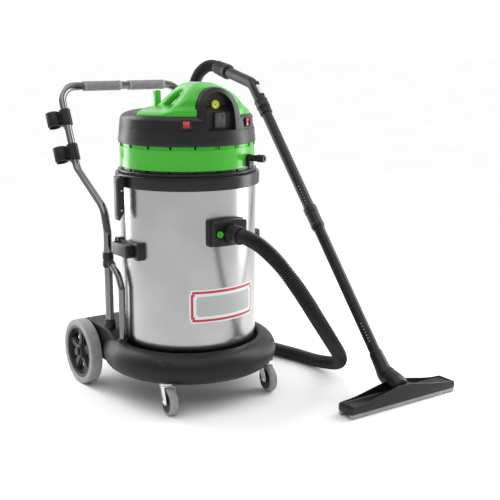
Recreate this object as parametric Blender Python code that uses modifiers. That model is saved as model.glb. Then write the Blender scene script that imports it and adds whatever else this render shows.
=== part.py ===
"""Wet and dry vacuum cleaner on a trolley, with its hose, wand and floor nozzle.

Metres, +Z up.  The front faces -Y and left is -X.  The origin is on the floor, under
the middle of the box that holds everything but the hose.  Places below are measured
from the tank's axis, and the whole machine hangs on one empty that moves them there.
"""
import math

import bmesh
import bpy
from mathutils import Matrix, Vector

# ---- driving dimensions ----
TANK_AXIS = (-0.17545, 0.00485, 0.0)    # from the origin
GAP = 0.0003                            # between pieces that touch
TANK_RADIUS = 0.200
TANK_BOTTOM = 0.1495
TANK_TOP = 0.668
TANK_WALL = 0.002
BAND_RADIUS = 0.2125
BAND_BOTTOM = 0.635
BAND_TOP = 0.6715
BASE_RADIUS = 0.263
BASE_BOTTOM = 0.085
WELL_FLOOR = 0.149
DECK_TOP = 0.197
DECK_HALF_WIDTH = 0.232

WHEEL_RADIUS = 0.1005
WHEEL_WIDTH = 0.038
WHEEL_Y = 0.2195
WHEEL_INNER_X = 0.236
AXLE_RADIUS = 0.008
CASTER_RADIUS = 0.040
CASTER_WIDTH = 0.025
CASTER_STEM = (0.1725, -0.158)          # x is for the right one
CASTER_TRAIL = 0.020
CASTER_HEADING = math.radians(8)        # both casters stand turned a little

UPRIGHT_X = 0.217
UPRIGHT_Y = 0.103
HANDLE_TUBE_RADIUS = 0.0127
BRACE_TUBE_RADIUS = 0.010
BRACE_Y = 0.0205
HANDLE_TOP_Z = 0.905
HANDLE_TOP_Y = 0.410
GRIP_MIDDLE = 0.010                     # x of the gap between the handle's two grips
CLAMP_Z = (0.385, 0.430)

INLET_Z = 0.516
INLET_FACE_Y = -0.232
INLET_BORE = 0.021
LATCH_X = 0.2165                        # inner face of the latch lever
LATCH_PIVOT = (0.2265, 0.660)           # x and z of the lever's pin

HEAD_BOTTOM = 0.6753
FLANGE_TOP = 0.688
RING_RADIUS = 0.1975
RING_TOP = 0.7485
SKIRT_BOTTOM = 0.7575
HOUSING_RADIUS = 0.2014
COVER_BOTTOM = 0.833
DOME = (
    (0.0, 0.8530), (0.107, 0.8512), (0.140, 0.8490), (0.168, 0.8445), (0.186, 0.8380), (0.194, 0.8270),
)
PANEL_HALF_WIDTH = 0.069
PANEL_TOP = 0.917
RECESS_FLOOR = 0.152                    # the panel's recess, the socket in it and the gauge, along -Y
SOCKET_FACE = 0.1765
GAUGE_Z = 0.869
MOTOR_X = 0.088
SWITCH_ANGLE = math.radians(31.3)
SWITCH_Z = 0.8178

WAND_X = 0.4255
ELBOW = (-0.4191, 0.0730)               # y and z of the corner where the nozzle's neck turns up the wand
NECK_TILT = math.radians(71.6)          # the neck's axis, from upright, leaning to +Y
NECK_JOINT = -0.0146                    # along the neck, from the corner to the joint's face
NECK_RADIUS = 0.0275
WAND_TILT = math.radians(39.65)         # from upright, leaning to +Y
WAND_TUBE_RADIUS = 0.0172
WAND_WALL = 0.0016
LOWER_TUBE = (0.036, 0.5665)            # along the wand, from that corner
UPPER_TUBE = (0.5065, 1.0265)
GRIP_BEND = 1.0815                      # where the wand bends into its handle
HOSE_RADIUS = 0.0210
NOZZLE_HALF_LENGTH = 0.205
NOZZLE_Y = (-0.508, -0.448)

# The hose's route, from the inlet, over the floor and up behind to the wand's handle.
HOSE_ROUTE = (
    (0.000, -0.2865, 0.516), (0.000, -0.318, 0.514), (0.007, -0.358, 0.503),
    (0.024, -0.414, 0.467), (0.050, -0.452, 0.415), (0.086, -0.466, 0.358),
    (0.123, -0.462, 0.308), (0.207, -0.424, 0.218), (0.301, -0.354, 0.135),
    (0.382, -0.254, 0.070), (0.414, -0.172, 0.040), (0.423, -0.090, 0.024),
    (0.413, -0.003, 0.022), (0.392, 0.083, 0.022), (0.374, 0.180, 0.022),
    (0.366, 0.280, 0.022), (0.373, 0.390, 0.023), (0.388, 0.490, 0.038),
    (0.403, 0.574, 0.087), (0.418, 0.632, 0.175), (0.426, 0.657, 0.300),
    (0.428, 0.667, 0.440), (0.428, 0.671, 0.600), (0.427, 0.672, 0.740),
    (0.4265, 0.670, 0.825), (0.4260, 0.654, 0.884), (0.4255, 0.618, 0.930),
    (0.4255, 0.564, 0.957), (0.4255, 0.528, 0.962), (0.4255, 0.4972, 0.9588),
)

TURN = 2 * math.pi
ROUND = 40                              # facets round the tank and what fits it


# ---- scene, materials ----

def clear_scene():
    for obj in list(bpy.data.objects):
        bpy.data.objects.remove(obj, do_unlink=True)


def new_collection(name):
    made = bpy.data.collections.new(name)
    bpy.context.scene.collection.children.link(made)
    return made


def new_material(name, colour, roughness, metallic=0.0):
    made = bpy.data.materials.new(name)
    made.use_nodes = True
    shader = made.node_tree.nodes["Principled BSDF"]
    shader.inputs["Base Color"].default_value = (*colour, 1.0)
    shader.inputs["Roughness"].default_value = roughness
    shader.inputs["Metallic"].default_value = metallic
    made.diffuse_color = (*colour, 1.0)
    return made


clear_scene()
PARTS = new_collection("shop_vacuum")
CUTTERS = new_collection("cutters")

BLACK = (0.035, 0.035, 0.037)
GREEN = (0.060, 0.450, 0.040)
GREY = (0.300, 0.300, 0.300)

MACHINE = bpy.data.objects.new("machine", None)
MACHINE.location = TANK_AXIS
PARTS.objects.link(MACHINE)


# ---- ways to make a piece ----

def show(obj, colour, roughness=0.5, metallic=0.0, smooth=math.radians(35)):
    """Makes obj a visible sub-part with its own material."""
    PARTS.objects.link(obj)
    obj.parent = MACHINE
    obj.data.materials.append(new_material(obj.name, colour, roughness, metallic))
    if obj.type == "MESH" and smooth:
        obj.data.shade_smooth()
        obj.data.set_sharp_from_angle(angle=smooth)
    return obj


def hide(obj):
    """Makes obj a cutter."""
    CUTTERS.objects.link(obj)
    obj.parent = MACHINE
    obj.hide_render = True
    obj.display_type = "WIRE"
    return obj


def from_bmesh(name, bm, place=None):
    mesh = bpy.data.meshes.new(name)
    bm.to_mesh(mesh)
    bm.free()
    obj = bpy.data.objects.new(name, mesh)
    if place is not None:
        obj.matrix_local = place
    return obj


def turned(name, profile, steps, place=None, closed=False):
    """A profile of (radius, z) points turned about the local Z axis."""
    bm = bmesh.new()
    verts = [bm.verts.new((r, 0.0, z)) for r, z in profile]
    for a, b in zip(verts, verts[1:]):
        bm.edges.new((a, b))
    if closed:
        bm.edges.new((verts[-1], verts[0]))
    obj = from_bmesh(name, bm, place)
    turn = obj.modifiers.new("turn", "SCREW")
    turn.steps = steps
    turn.render_steps = steps
    turn.use_merge_vertices = True
    turn.merge_threshold = 0.00002
    return obj


def ring(name, inner, outer, low, high, steps, place=None, chamfer=0.0):
    """A plain ring, with its outer edges chamfered."""
    c = chamfer
    if c:
        profile = [(outer - c, high), (outer, high - c), (outer, low + c), (outer - c, low)]
    else:
        profile = [(outer, high), (outer, low)]
    profile += [(inner, low), (inner, high)]
    return turned(name, profile, steps, place, closed=True)


def disc(name, radius, low, high, steps, place=None, chamfer=0.0):
    """A plain cylinder, with its edges chamfered."""
    c = chamfer
    if c:
        profile = [(0, high), (radius - c, high), (radius, high - c)]
        profile += [(radius, low + c), (radius - c, low), (0, low)]
    else:
        profile = [(0, high), (radius, high), (radius, low), (0, low)]
    return turned(name, profile, steps, place)


def box(name, low, high, bevel=0.0, segments=2, place=None):
    bm = bmesh.new()
    size = [b - a for a, b in zip(low, high)]
    middle = [(a + b) / 2 for a, b in zip(low, high)]
    bmesh.ops.create_cube(bm, size=1.0, matrix=Matrix.Translation(middle) @ Matrix.Diagonal((*size, 1.0)))
    obj = from_bmesh(name, bm, place)
    if bevel:
        edge = obj.modifiers.new("edges", "BEVEL")
        edge.width = bevel
        edge.segments = segments
    return obj


def extruded(name, outline, low, high, place=None, bevel=0.0):
    """A flat outline of (u, v) points in local XY, extruded from low to high along local Z."""
    bm = bmesh.new()
    face = bm.faces.new([bm.verts.new((u, v, low)) for u, v in outline])
    top = bmesh.ops.extrude_face_region(bm, geom=[face])["geom"]
    moved = [v for v in top if isinstance(v, bmesh.types.BMVert)]
    bmesh.ops.translate(bm, verts=moved, vec=(0, 0, high - low))
    bmesh.ops.recalc_face_normals(bm, faces=bm.faces[:])
    obj = from_bmesh(name, bm, place)
    if bevel:
        edge = obj.modifiers.new("edges", "BEVEL")
        edge.width = bevel
        edge.segments = 2
        edge.limit_method = "ANGLE"
        edge.angle_limit = math.radians(50)
    return obj


def cut(obj, cutter, operation="DIFFERENCE"):
    edit = obj.modifiers.new(cutter.name, "BOOLEAN")
    edit.operation = operation
    edit.object = cutter
    return obj


def tube(name, points, radius, resolution=4):
    """A solid round bar along points, as a curve object."""
    curve = bpy.data.curves.new(name, "CURVE")
    curve.dimensions = "3D"
    curve.bevel_depth = radius
    curve.bevel_resolution = resolution
    curve.use_fill_caps = True
    spline = curve.splines.new("POLY")
    spline.points.add(len(points) - 1)
    for point, place in zip(spline.points, points):
        point.co = (*place, 1.0)
    return bpy.data.objects.new(name, curve)


def as_mesh(obj):
    """The curve object's evaluated mesh as a new object, with its caps welded."""
    PARTS.objects.link(obj)
    bpy.context.view_layer.update()
    graph = bpy.context.evaluated_depsgraph_get()
    mesh = bpy.data.meshes.new_from_object(obj.evaluated_get(graph))
    bm = bmesh.new()
    bm.from_mesh(mesh)
    bmesh.ops.remove_doubles(bm, verts=bm.verts[:], dist=0.00001)
    bmesh.ops.recalc_face_normals(bm, faces=bm.faces[:])
    bm.to_mesh(mesh)
    bm.free()
    mesh.materials.clear()
    name = obj.name
    place = obj.matrix_world.copy()
    bpy.data.objects.remove(obj, do_unlink=True)
    made = bpy.data.objects.new(name, mesh)
    made.matrix_local = place
    return made


def bent(corners, radius, steps=5):
    """The corner points with each inner corner rounded to an arc of this radius."""
    corners = [Vector(c) for c in corners]
    path = [corners[0]]
    for before, corner, after in zip(corners, corners[1:], corners[2:]):
        back = (before - corner).normalized()
        on = (after - corner).normalized()
        half = back.angle(on) / 2
        centre = corner + (back + on).normalized() * (radius / math.sin(half))
        start = corner + back * (radius / math.tan(half)) - centre
        end = corner + on * (radius / math.tan(half)) - centre
        start.normalize()
        end.normalize()
        for i in range(steps + 1):
            path.append(centre + start.slerp(end, i / steps) * radius)
    path.append(corners[-1])
    return path


def smooth_route(points, count):
    """count points, evenly spaced, on a smooth curve through the route's points."""
    points = [Vector(p) for p in points]
    ends = [points[0] * 2 - points[1]] + points + [points[-1] * 2 - points[-2]]
    fine = []
    for p0, p1, p2, p3 in zip(ends, ends[1:], ends[2:], ends[3:]):
        d01 = (p1 - p0).length ** 0.5
        d12 = (p2 - p1).length ** 0.5
        d23 = (p3 - p2).length ** 0.5
        m1 = (p2 - p1 + ((p1 - p0) / d01 - (p2 - p0) / (d01 + d12)) * d12)
        m2 = (p2 - p1 + ((p3 - p2) / d23 - (p3 - p1) / (d12 + d23)) * d12)
        for i in range(24):
            t = i / 24
            a = 2 * t ** 3 - 3 * t ** 2 + 1
            b = t ** 3 - 2 * t ** 2 + t
            c = -2 * t ** 3 + 3 * t ** 2
            d = t ** 3 - t ** 2
            fine.append(p1 * a + m1 * b + p2 * c + m2 * d)
    fine.append(points[-1])
    along = [0.0]
    for a, b in zip(fine, fine[1:]):
        along.append(along[-1] + (b - a).length)
    even = []
    j = 0
    for i in range(count):
        want = along[-1] * i / (count - 1)
        while j < len(fine) - 2 and along[j + 1] < want:
            j += 1
        step = along[j + 1] - along[j]
        even.append(fine[j].lerp(fine[j + 1], (want - along[j]) / step))
    return even


def aligned(start, end):
    """A place at start whose Z axis points to end."""
    start = Vector(start)
    way = Vector(end) - start
    return Matrix.Translation(start) @ way.to_track_quat("Z", "Y").to_matrix().to_4x4()


def turned_about_z(angle):
    return Matrix.Rotation(angle, 4, "Z")


ALONG_X = Matrix.Rotation(math.pi / 2, 4, "Y")
ALONG_Y_FORWARD = Matrix.Rotation(math.pi / 2, 4, "X")      # local Z becomes -Y
SIDES = (("left", -1), ("right", 1))


# ---- trolley ----

def trolley_base():
    shell = [
        (0, WELL_FLOOR), (0.190, WELL_FLOOR), (0.2035, 0.160), (0.209, 0.170), (0.218, 0.173),
        (0.240, 0.167), (0.256, 0.151), (BASE_RADIUS, 0.128), (0.257, 0.102), (0.240, 0.087),
        (0.222, BASE_BOTTOM), (0.218, 0.091), (0.240, 0.099), (0.256, 0.128), (0.247, 0.150),
        (0.218, 0.1655), (0.195, 0.143), (0, 0.143),
    ]
    base = turned("trolley_base", shell, ROUND)
    side = [
        (0.005, 0.092), (0.005, 0.166), (0.042, 0.172), (0.070, 0.190), (0.085, DECK_TOP),
        (0.245, DECK_TOP), (0.282, 0.186), (0.298, 0.160), (0.298, 0.112), (0.285, 0.092),
    ]
    upright = Matrix.Rotation(math.pi / 2, 4, "Z") @ Matrix.Rotation(math.pi / 2, 4, "X")
    width = DECK_HALF_WIDTH
    deck = hide(extruded("deck_block", side, -width, width, upright))
    cut(base, deck, "UNION")
    inside = ((-width + 0.008, 0.013, 0.05), (width - 0.008, 0.277, DECK_TOP - 0.017))
    hollow = hide(box("deck_hollow", *inside))
    cut(hollow, hide(disc("deck_hollow_keep", 0.2095, 0.143, 0.25, ROUND)))
    cut(base, hollow)
    for side_name, s in SIDES:
        stem = Matrix.Translation((s * CASTER_STEM[0], CASTER_STEM[1], 0))
        cut(base, hide(disc("caster_boss_" + side_name, 0.024, 0.0918, 0.158, 16, stem)), "UNION")
        cut(base, hide(disc("caster_pocket_" + side_name, 0.0245, 0.05, 0.0918, 16, stem)))
        cut(base, hide(disc("caster_bore_" + side_name, 0.0064, 0.06, 0.134, 10, stem)))
        socket = Matrix.Translation((s * UPRIGHT_X, BRACE_Y, 0))
        cut(base, hide(disc("brace_socket_" + side_name, 0.0145, 0.120, 0.184, 16, socket)), "UNION")
    floor = WELL_FLOOR - 0.0002
    well = [(0, 0.3), (0.2045, 0.3), (0.2045, 0.1607), (0.1905, floor), (0, floor)]
    cut(base, hide(turned("tank_well", well, ROUND)))
    for side_name, s in SIDES:
        socket = Matrix.Translation((s * UPRIGHT_X, BRACE_Y, 0)) @ turned_about_z(0.11)
        bore = BRACE_TUBE_RADIUS + 0.0006
        cut(base, hide(disc("brace_bore_" + side_name, bore, 0.1494, 0.2, 14, socket)))
    axle = Matrix.Translation((0, WHEEL_Y, WHEEL_RADIUS)) @ ALONG_X
    cut(base, hide(disc("axle_bore", AXLE_RADIUS + GAP, -0.3, 0.3, 12, axle)))
    show(base, BLACK, 0.55)


def rear_axle():
    end = WHEEL_INNER_X + WHEEL_WIDTH + 2 * GAP
    r = AXLE_RADIUS
    profile = [(0, end + 0.005), (0.011, end + 0.005), (0.013, end + 0.002), (0.013, end), (r, end)]
    profile += [(radius, -z) for radius, z in reversed(profile)]
    place = Matrix.Translation((0, WHEEL_Y, WHEEL_RADIUS)) @ ALONG_X
    show(turned("rear_axle", profile, 12, place), (0.55, 0.55, 0.56), 0.3, 1.0)


def rear_wheel(side_name, s):
    inner = WHEEL_INNER_X
    place = Matrix.Translation((s * (inner + WHEEL_WIDTH / 2), WHEEL_Y, WHEEL_RADIUS)) @ ALONG_X
    w = WHEEL_WIDTH / 2
    rim = 0.080
    bore = AXLE_RADIUS + GAP
    hub_profile = [
        (bore, w), (0.022, w), (0.022, 0.005), (0.071, 0.005), (0.072, w - 0.002), (rim, w - 0.002),
        (rim, -w + 0.002), (0.072, -w + 0.002), (0.071, -0.005), (0.022, -0.005), (0.022, -w), (bore, -w),
    ]
    hub = turned("wheel_hub_" + side_name, hub_profile, 20, place, closed=True)
    for i in range(5):
        window = hide(extruded(
            "wheel_window_%s_%d" % (side_name, i),
            [(0.030, -0.006), (0.064, -0.0235), (0.064, 0.0235), (0.030, 0.006)],
            -0.02, 0.02, place @ turned_about_z(TURN * (i + 0.5) / 5)))
        cut(hub, window)
    show(hub, (0.05, 0.05, 0.052), 0.5)
    r = WHEEL_RADIUS
    tread = [
        (r - 0.006, w), (r - 0.0015, w - 0.003), (r, w - 0.009), (r, -w + 0.009), (r - 0.0015, -w + 0.003),
        (r - 0.006, -w), (rim + 0.0008, -w + 0.0015), (rim + 0.0008, w - 0.0015),
    ]
    show(turned("wheel_tyre_" + side_name, tread, 32, place, closed=True), GREY, 0.6)


def caster(side_name, s):
    stem_place = Matrix.Translation((s * CASTER_STEM[0], CASTER_STEM[1], 0))
    stem = [
        (0, 0.130), (0.0060, 0.130), (0.0060, 0.0914), (0.0175, 0.0914), (0.0175, 0.0850),
        (0.0040, 0.0850), (0.0040, 0.0830), (0, 0.0830),
    ]
    show(turned("caster_stem_" + side_name, stem, 16, stem_place), (0.6, 0.6, 0.6), 0.3, 1.0)
    # Local Y points the way the caster rolls, so the wheel trails at local -Y.
    turned_place = stem_place @ turned_about_z(-CASTER_HEADING)
    leg = CASTER_WIDTH / 2 + 0.0030
    outline = [
        (0.015, 0.0846), (-0.013, 0.0846), (-0.033, 0.046), (-0.033, 0.036), (-0.024, 0.030),
        (-0.010, 0.034), (-0.004, 0.050), (0.015, 0.0800),
    ]
    sideways = turned_place @ Matrix.Rotation(math.pi / 2, 4, "Z") @ Matrix.Rotation(math.pi / 2, 4, "X")
    fork = extruded("caster_fork_" + side_name, outline, -leg - 0.0022, leg + 0.0022, sideways)
    slot = box("caster_slot_" + side_name, (-leg, -0.08, 0), (leg, 0.03, 0.0818), place=turned_place)
    cut(fork, hide(slot))
    cut(fork, hide(disc("caster_hole_" + side_name, 0.0043, 0.07, 0.1, 10, turned_place)))
    axle = turned_place @ Matrix.Translation((0, -CASTER_TRAIL, CASTER_RADIUS)) @ ALONG_X
    bolt = hide(disc("caster_bolt_" + side_name, 0.004, -leg - 0.0045, leg + 0.0045, 10, axle))
    cut(fork, bolt, "UNION")
    show(fork, (0.72, 0.72, 0.73), 0.3, 1.0)
    r = CASTER_RADIUS
    w = CASTER_WIDTH / 2
    wheel = [
        (0.0046, w + 0.0015), (0.010, w + 0.0015), (0.013, w - 0.003), (0.029, w),
        (r - 0.005, w), (r, w - 0.006), (r, -w + 0.006), (r - 0.005, -w), (0.029, -w),
        (0.013, -w + 0.003), (0.010, -w - 0.0015), (0.0046, -w - 0.0015),
    ]
    show(turned("caster_wheel_" + side_name, wheel, 24, axle, closed=True), GREY, 0.6)


# ---- tank ----

def tank():
    r = TANK_RADIUS
    low = TANK_BOTTOM
    corner = 0.028
    outer = [(r, TANK_TOP), (r, low + corner)]
    outer += [
        (r - corner + corner * math.cos(a), low + corner - corner * math.sin(a))
        for a in (math.radians(30), math.radians(60), math.radians(90))
    ]
    inner = [(max(x - TANK_WALL, 0), z + (TANK_WALL if i else 0)) for i, (x, z) in enumerate(outer)]
    floor = [(0, low), (0, low + TANK_WALL)]
    shell = turned("tank_shell", outer + floor + inner[::-1], ROUND, closed=True)
    hole = Matrix.Translation((0, 0, INLET_Z)) @ ALONG_Y_FORWARD
    cut(shell, hide(disc("inlet_hole", INLET_BORE + 0.0015, 0.15, 0.25, 20, hole)))
    show(shell, (0.62, 0.62, 0.62), 0.22, 1.0)
    band = ring("tank_rim_band", r + GAP, BAND_RADIUS, BAND_BOTTOM, BAND_TOP, ROUND, chamfer=0.0015)
    show(band, BLACK, 0.4)


def tank_handle(side_name, s):
    """A pull handle with its fingers' hollow open below, and a flange against the tank."""
    low, high = 0.4370, 0.4750
    x = sorted((s * 0.185, s * 0.233))
    grip = box("tank_handle_" + side_name, (x[0], -0.045, low), (x[1], 0.045, high), 0.006, 2)
    x = sorted((s * 0.180, s * 0.2075))
    plate = ((x[0], -0.072, low - 0.005), (x[1], 0.072, high + 0.006))
    flange = hide(box("handle_flange_" + side_name, *plate))
    cut(flange, hide(disc("handle_flange_face_" + side_name, 0.2058, 0.4, 0.5, ROUND)), "INTERSECT")
    cut(grip, flange, "UNION")
    x = sorted((s * 0.150, s * 0.2225))
    room = ((x[0], -0.036, 0.40), (x[1], 0.036, high - 0.007))
    cut(grip, hide(box("handle_fingers_" + side_name, *room)))
    cut(grip, hide(disc("handle_seat_" + side_name, TANK_RADIUS + GAP, 0.4, 0.5, ROUND)))
    show(grip, BLACK, 0.45)


def inlet():
    body = box("inlet_box", (-0.058, INLET_FACE_Y, 0.478), (0.058, -0.17, 0.557), 0.012, 3)
    cut(body, hide(disc("inlet_seat", TANK_RADIUS + GAP, 0.4, 0.6, ROUND)))
    forward = Matrix.Translation((0, 0, INLET_Z)) @ ALONG_Y_FORWARD @ turned_about_z(0.05)
    cut(body, hide(disc("inlet_spigot", INLET_BORE, 0.1850, 0.2085, 20, forward)), "UNION")
    bore = [(0, 0.25), (0.0225, 0.25), (0.0225, 0.2125), (0.0178, 0.2125), (0.0178, 0.16), (0, 0.16)]
    cut(body, hide(turned("inlet_bore", bore, 20, forward)))
    button_place = Matrix.Translation((-0.037, 0, INLET_Z)) @ ALONG_Y_FORWARD
    cut(body, hide(disc("button_bore", 0.0095, 0.213, 0.25, 16, button_place)))
    show(body, BLACK, 0.45)
    button = disc("inlet_release_button", 0.0090, 0.2220, 0.2375, 16, button_place, chamfer=0.001)
    show(button, GREEN, 0.4)
    front = -INLET_FACE_Y
    cuff = [
        (0.0268, front + GAP), (0.0268, front + 0.020), (0.0255, front + 0.022), (0.0245, 0.2842),
        (0.0160, 0.2842), (0.0160, 0.2130), (0.0220, 0.2130), (0.0220, front + GAP),
    ]
    show(turned("hose_cuff_inlet", cuff[::-1], 24, forward, closed=True), BLACK, 0.5)
    hood = box("inlet_deflector", (-0.034, -0.1845, 0.470), (0.034, -0.140, 0.549), 0.004, 1)
    cut(hood, hide(box("deflector_hollow", (-0.031, -0.25, 0.46), (0.031, -0.143, 0.546))))
    show(hood, BLACK, 0.5)


def latch(side_name, s):
    """A lever on the rim band that hooks the head down, and the bracket it turns in."""
    x = sorted((s * (BAND_RADIUS + GAP), s * (LATCH_PIVOT[0] + 0.008)))
    bracket = box("latch_bracket_" + side_name, (x[0], -0.0180, 0.637), (x[1], 0.0180, 0.668), 0.002, 1)
    x = sorted((s * (BAND_RADIUS + 0.0033), s * 0.245))
    cut(bracket, hide(box("latch_gap_" + side_name, (x[0], -0.0130, 0.60), (x[1], 0.0130, 0.70))))
    show(bracket, BLACK, 0.5)
    # The lever's upper end stays near the pin's axis, so that it can swing up clear of the band.
    outline = [
        (LATCH_X, 0.656), (0.2200, 0.6678), (LATCH_PIVOT[0], 0.6698), (0.2340, 0.6680), (0.2370, 0.660),
        (0.2370, 0.546), (0.2330, 0.541), (LATCH_X, 0.566),
    ]
    if s < 0:
        outline = [(-u, v) for u, v in reversed(outline)]
    lever = extruded("latch_lever_" + side_name, outline, -0.0125, 0.0125, ALONG_Y_FORWARD, bevel=0.002)
    show(lever, BLACK, 0.4)


# ---- push handle ----

def push_handle():
    low = CLAMP_Z[0] - 0.1865
    slope_low = (0.122, 0.556)
    slope_high = (0.300, 0.657)
    top = HANDLE_TOP_Z
    side = [
        (UPRIGHT_Y, low), (UPRIGHT_Y, slope_low[1] - 0.065), slope_low, slope_high,
        (HANDLE_TOP_Y, top),
    ]
    left = [(-UPRIGHT_X, y, z) for y, z in side]
    right = [(UPRIGHT_X, y, z) for y, z in reversed(side)]
    bar = tube("push_handle_bar", bent(left + right, 0.055, 4), HANDLE_TUBE_RADIUS, 3)
    show(bar, (0.75, 0.75, 0.76), 0.15, 1.0)
    for side_name, s in SIDES:
        middle = Matrix.Translation((GRIP_MIDDLE, HANDLE_TOP_Y, top)) @ ALONG_X
        a, b = sorted((s * 0.014, s * 0.146))
        grip = ring("handle_grip_" + side_name, HANDLE_TUBE_RADIUS + GAP, 0.0158, a, b, 16, middle)
        show(grip, GREY, 0.7)


def frame_leg(side_name, s):
    place = Matrix.Translation((s * UPRIGHT_X, UPRIGHT_Y, 0))
    bore = HANDLE_TUBE_RADIUS + GAP
    collar = ring("foot_collar_" + side_name, bore, 0.0172, DECK_TOP + GAP, 0.2250, 16, place)
    show(collar, BLACK, 0.5)
    clamp = ring("upright_clamp_" + side_name, bore, 0.0165, *CLAMP_Z, 16, place)
    x = s * UPRIGHT_X
    corners = [(x, 0.0755, 0.393), (x, 0.040, 0.372), (x, BRACE_Y, 0.335), (x, BRACE_Y, 0.1505)]
    # A round lug on the clamp, in line with the brace's first leg.
    lug = hide(disc("clamp_lug_" + side_name, 0.0115, -0.022, -GAP, 12, aligned(corners[0], corners[1])))
    cut(lug, hide(disc("clamp_lug_bore_" + side_name, bore + 0.001, 0.3, 0.5, 16, place)))
    cut(clamp, lug, "UNION")
    show(clamp, BLACK, 0.5)
    brace = tube("frame_brace_" + side_name, bent(corners, 0.022, 3), BRACE_TUBE_RADIUS, 3)
    show(brace, (0.75, 0.75, 0.76), 0.15, 1.0)


def tool_clip(level, y, z):
    """A sleeve on the left upright with an open C that an accessory snaps into."""
    start = Vector((-UPRIGHT_X, 0.300, 0.657))
    way = (Vector((-UPRIGHT_X, HANDLE_TOP_Y, HANDLE_TOP_Z)) - start).normalized()
    middle = Vector((-UPRIGHT_X, y, z))
    middle = start + way * (middle - start).dot(way)
    place = aligned(middle, middle + way)
    half = 0.026
    clip = ring("tool_clip_" + level, HANDLE_TUBE_RADIUS + GAP, 0.0180, -half, half, 16, place)
    # The C sits outward and rearward of the upright, in the sleeve's own frame.
    outward = place.to_3x3().inverted() @ Vector((-0.80, 0.55, 0.0))
    outward.z = 0
    outward.normalize()
    spin = Matrix.Rotation(math.atan2(outward.y, outward.x), 4, "Z")
    c_place = place @ spin @ Matrix.Translation((0.0395, 0, 0))
    c_high = half - 0.003
    c_ring = hide(ring("clip_c_" + level, 0.0175, 0.0215, -c_high, c_high, 16, c_place))
    cut(c_ring, hide(box("clip_mouth_" + level, (0.004, -0.0115, -0.1), (0.05, 0.0115, 0.1), place=c_place)))
    web = ((0.0150, -0.007, -c_high), (0.0200, 0.007, c_high))
    cut(clip, hide(box("clip_bridge_" + level, *web, place=place @ spin)), "UNION")
    cut(clip, c_ring, "UNION")
    show(clip, BLACK, 0.5)


# ---- motor head ----

def head_flange():
    top = FLANGE_TOP
    profile = [
        (0, top), (0.1940, top), (0.1940, 0.6835), (0.2035, 0.6815), (0.2035, HEAD_BOTTOM),
        (0, HEAD_BOTTOM),
    ]
    flange = turned("head_flange", profile, ROUND)
    cut(flange, hide(disc("flange_air_hole", 0.055, 0.6, 0.7, 24)))
    show(flange, BLACK, 0.4)
    gasket = ring("head_gasket", 0.1850, 0.2030, BAND_TOP + GAP, HEAD_BOTTOM - GAP, ROUND)
    show(gasket, (0.02, 0.02, 0.02), 0.8)


def cooling_ring():
    """The green air ring: a wall with ribs above it that leave vents all round."""
    low = FLANGE_TOP + GAP
    wall = ring("cooling_ring", 0.1900, RING_RADIUS, low, RING_TOP, ROUND)
    rib = ((-0.003, -0.1960, RING_TOP - 0.004), (0.003, -0.1905, SKIRT_BOTTOM - GAP))
    ribs = 12
    for i in range(ribs):
        place = turned_about_z(TURN * (i + 0.5) / ribs)
        cut(wall, hide(box("ring_rib_%d" % i, *rib, place=place)), "UNION")
    show(wall, GREEN, 0.3)


def housing_profile(grow=0.0):
    """The housing's outer side, from its top on the axis to its skirt."""
    dome = [(r, z + grow) for r, z in DOME[:-1]]
    side = [DOME[-1], (0.1985, 0.7880), (HOUSING_RADIUS, SKIRT_BOTTOM)]
    return dome + [(r + grow, z) for r, z in side]


def arch(half_width, low, top, sides=12):
    """An outline with straight sides and an arched top, in local XY."""
    rise = half_width * 1.05
    points = [(half_width, low)]
    for i in range(sides + 1):
        a = math.pi * i / sides
        points.append((half_width * math.cos(a), top - rise + rise * math.sin(a)))
    points.append((-half_width, low))
    return points


def panel_slab(name, half_width, low, top, front, back):
    """An upright arched slab that faces -Y and is rounded to the head's front."""
    slab = hide(extruded(name, arch(half_width, low, top), front, back, ALONG_Y_FORWARD))
    return slab


def head_housing():
    inner = [(HOUSING_RADIUS - 0.004, SKIRT_BOTTOM), (0.1895, 0.8270), (0.158, 0.8410), (0, 0.8490)]
    housing = turned("head_housing", housing_profile() + inner, ROUND)
    slab = panel_slab("panel_block", PANEL_HALF_WIDTH, 0.795, PANEL_TOP, 0.120, 0.21)
    front = [
        (0, 0.95), (0.150, 0.95), (0.154, 0.917), (0.176, 0.885), (0.188, 0.850), (0.1935, 0.820),
        (0.196, 0.780), (0, 0.780),
    ]
    cut(slab, hide(turned("panel_front", front, ROUND)), "INTERSECT")
    cut(housing, slab, "UNION")
    recess = panel_slab("panel_recess", 0.046, 0.800, 0.904, RECESS_FLOOR, 0.25)
    cut(housing, recess)
    block = ((-0.0185, -SOCKET_FACE, 0.798), (0.0185, 0.002 - RECESS_FLOOR, 0.850))
    cut(housing, hide(box("socket_block", *block)), "UNION")
    for side_name, s in SIDES:
        place = turned_about_z(s * SWITCH_ANGLE)
        opening = ((-0.0125, -0.22, SWITCH_Z - 0.0105), (0.0125, -0.15, SWITCH_Z + 0.0105))
        cut(housing, hide(box("switch_hole_" + side_name, *opening, place=place)))
    socket = hide(box("socket_hole", (-0.016, -0.20, 0.806), (0.016, -0.150, 0.843)))
    cut(housing, socket)
    gauge = Matrix.Translation((0, 0, GAUGE_Z)) @ ALONG_Y_FORWARD
    cut(housing, hide(disc("gauge_hole", 0.0113, 0.1, 0.2, 16, gauge)))
    post = hide(box("cable_post", (-0.008, 0.167, 0.840), (0.008, 0.183, 0.897), 0.003, 2))
    cut(housing, post, "UNION")
    show(housing, BLACK, 0.45)


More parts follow.
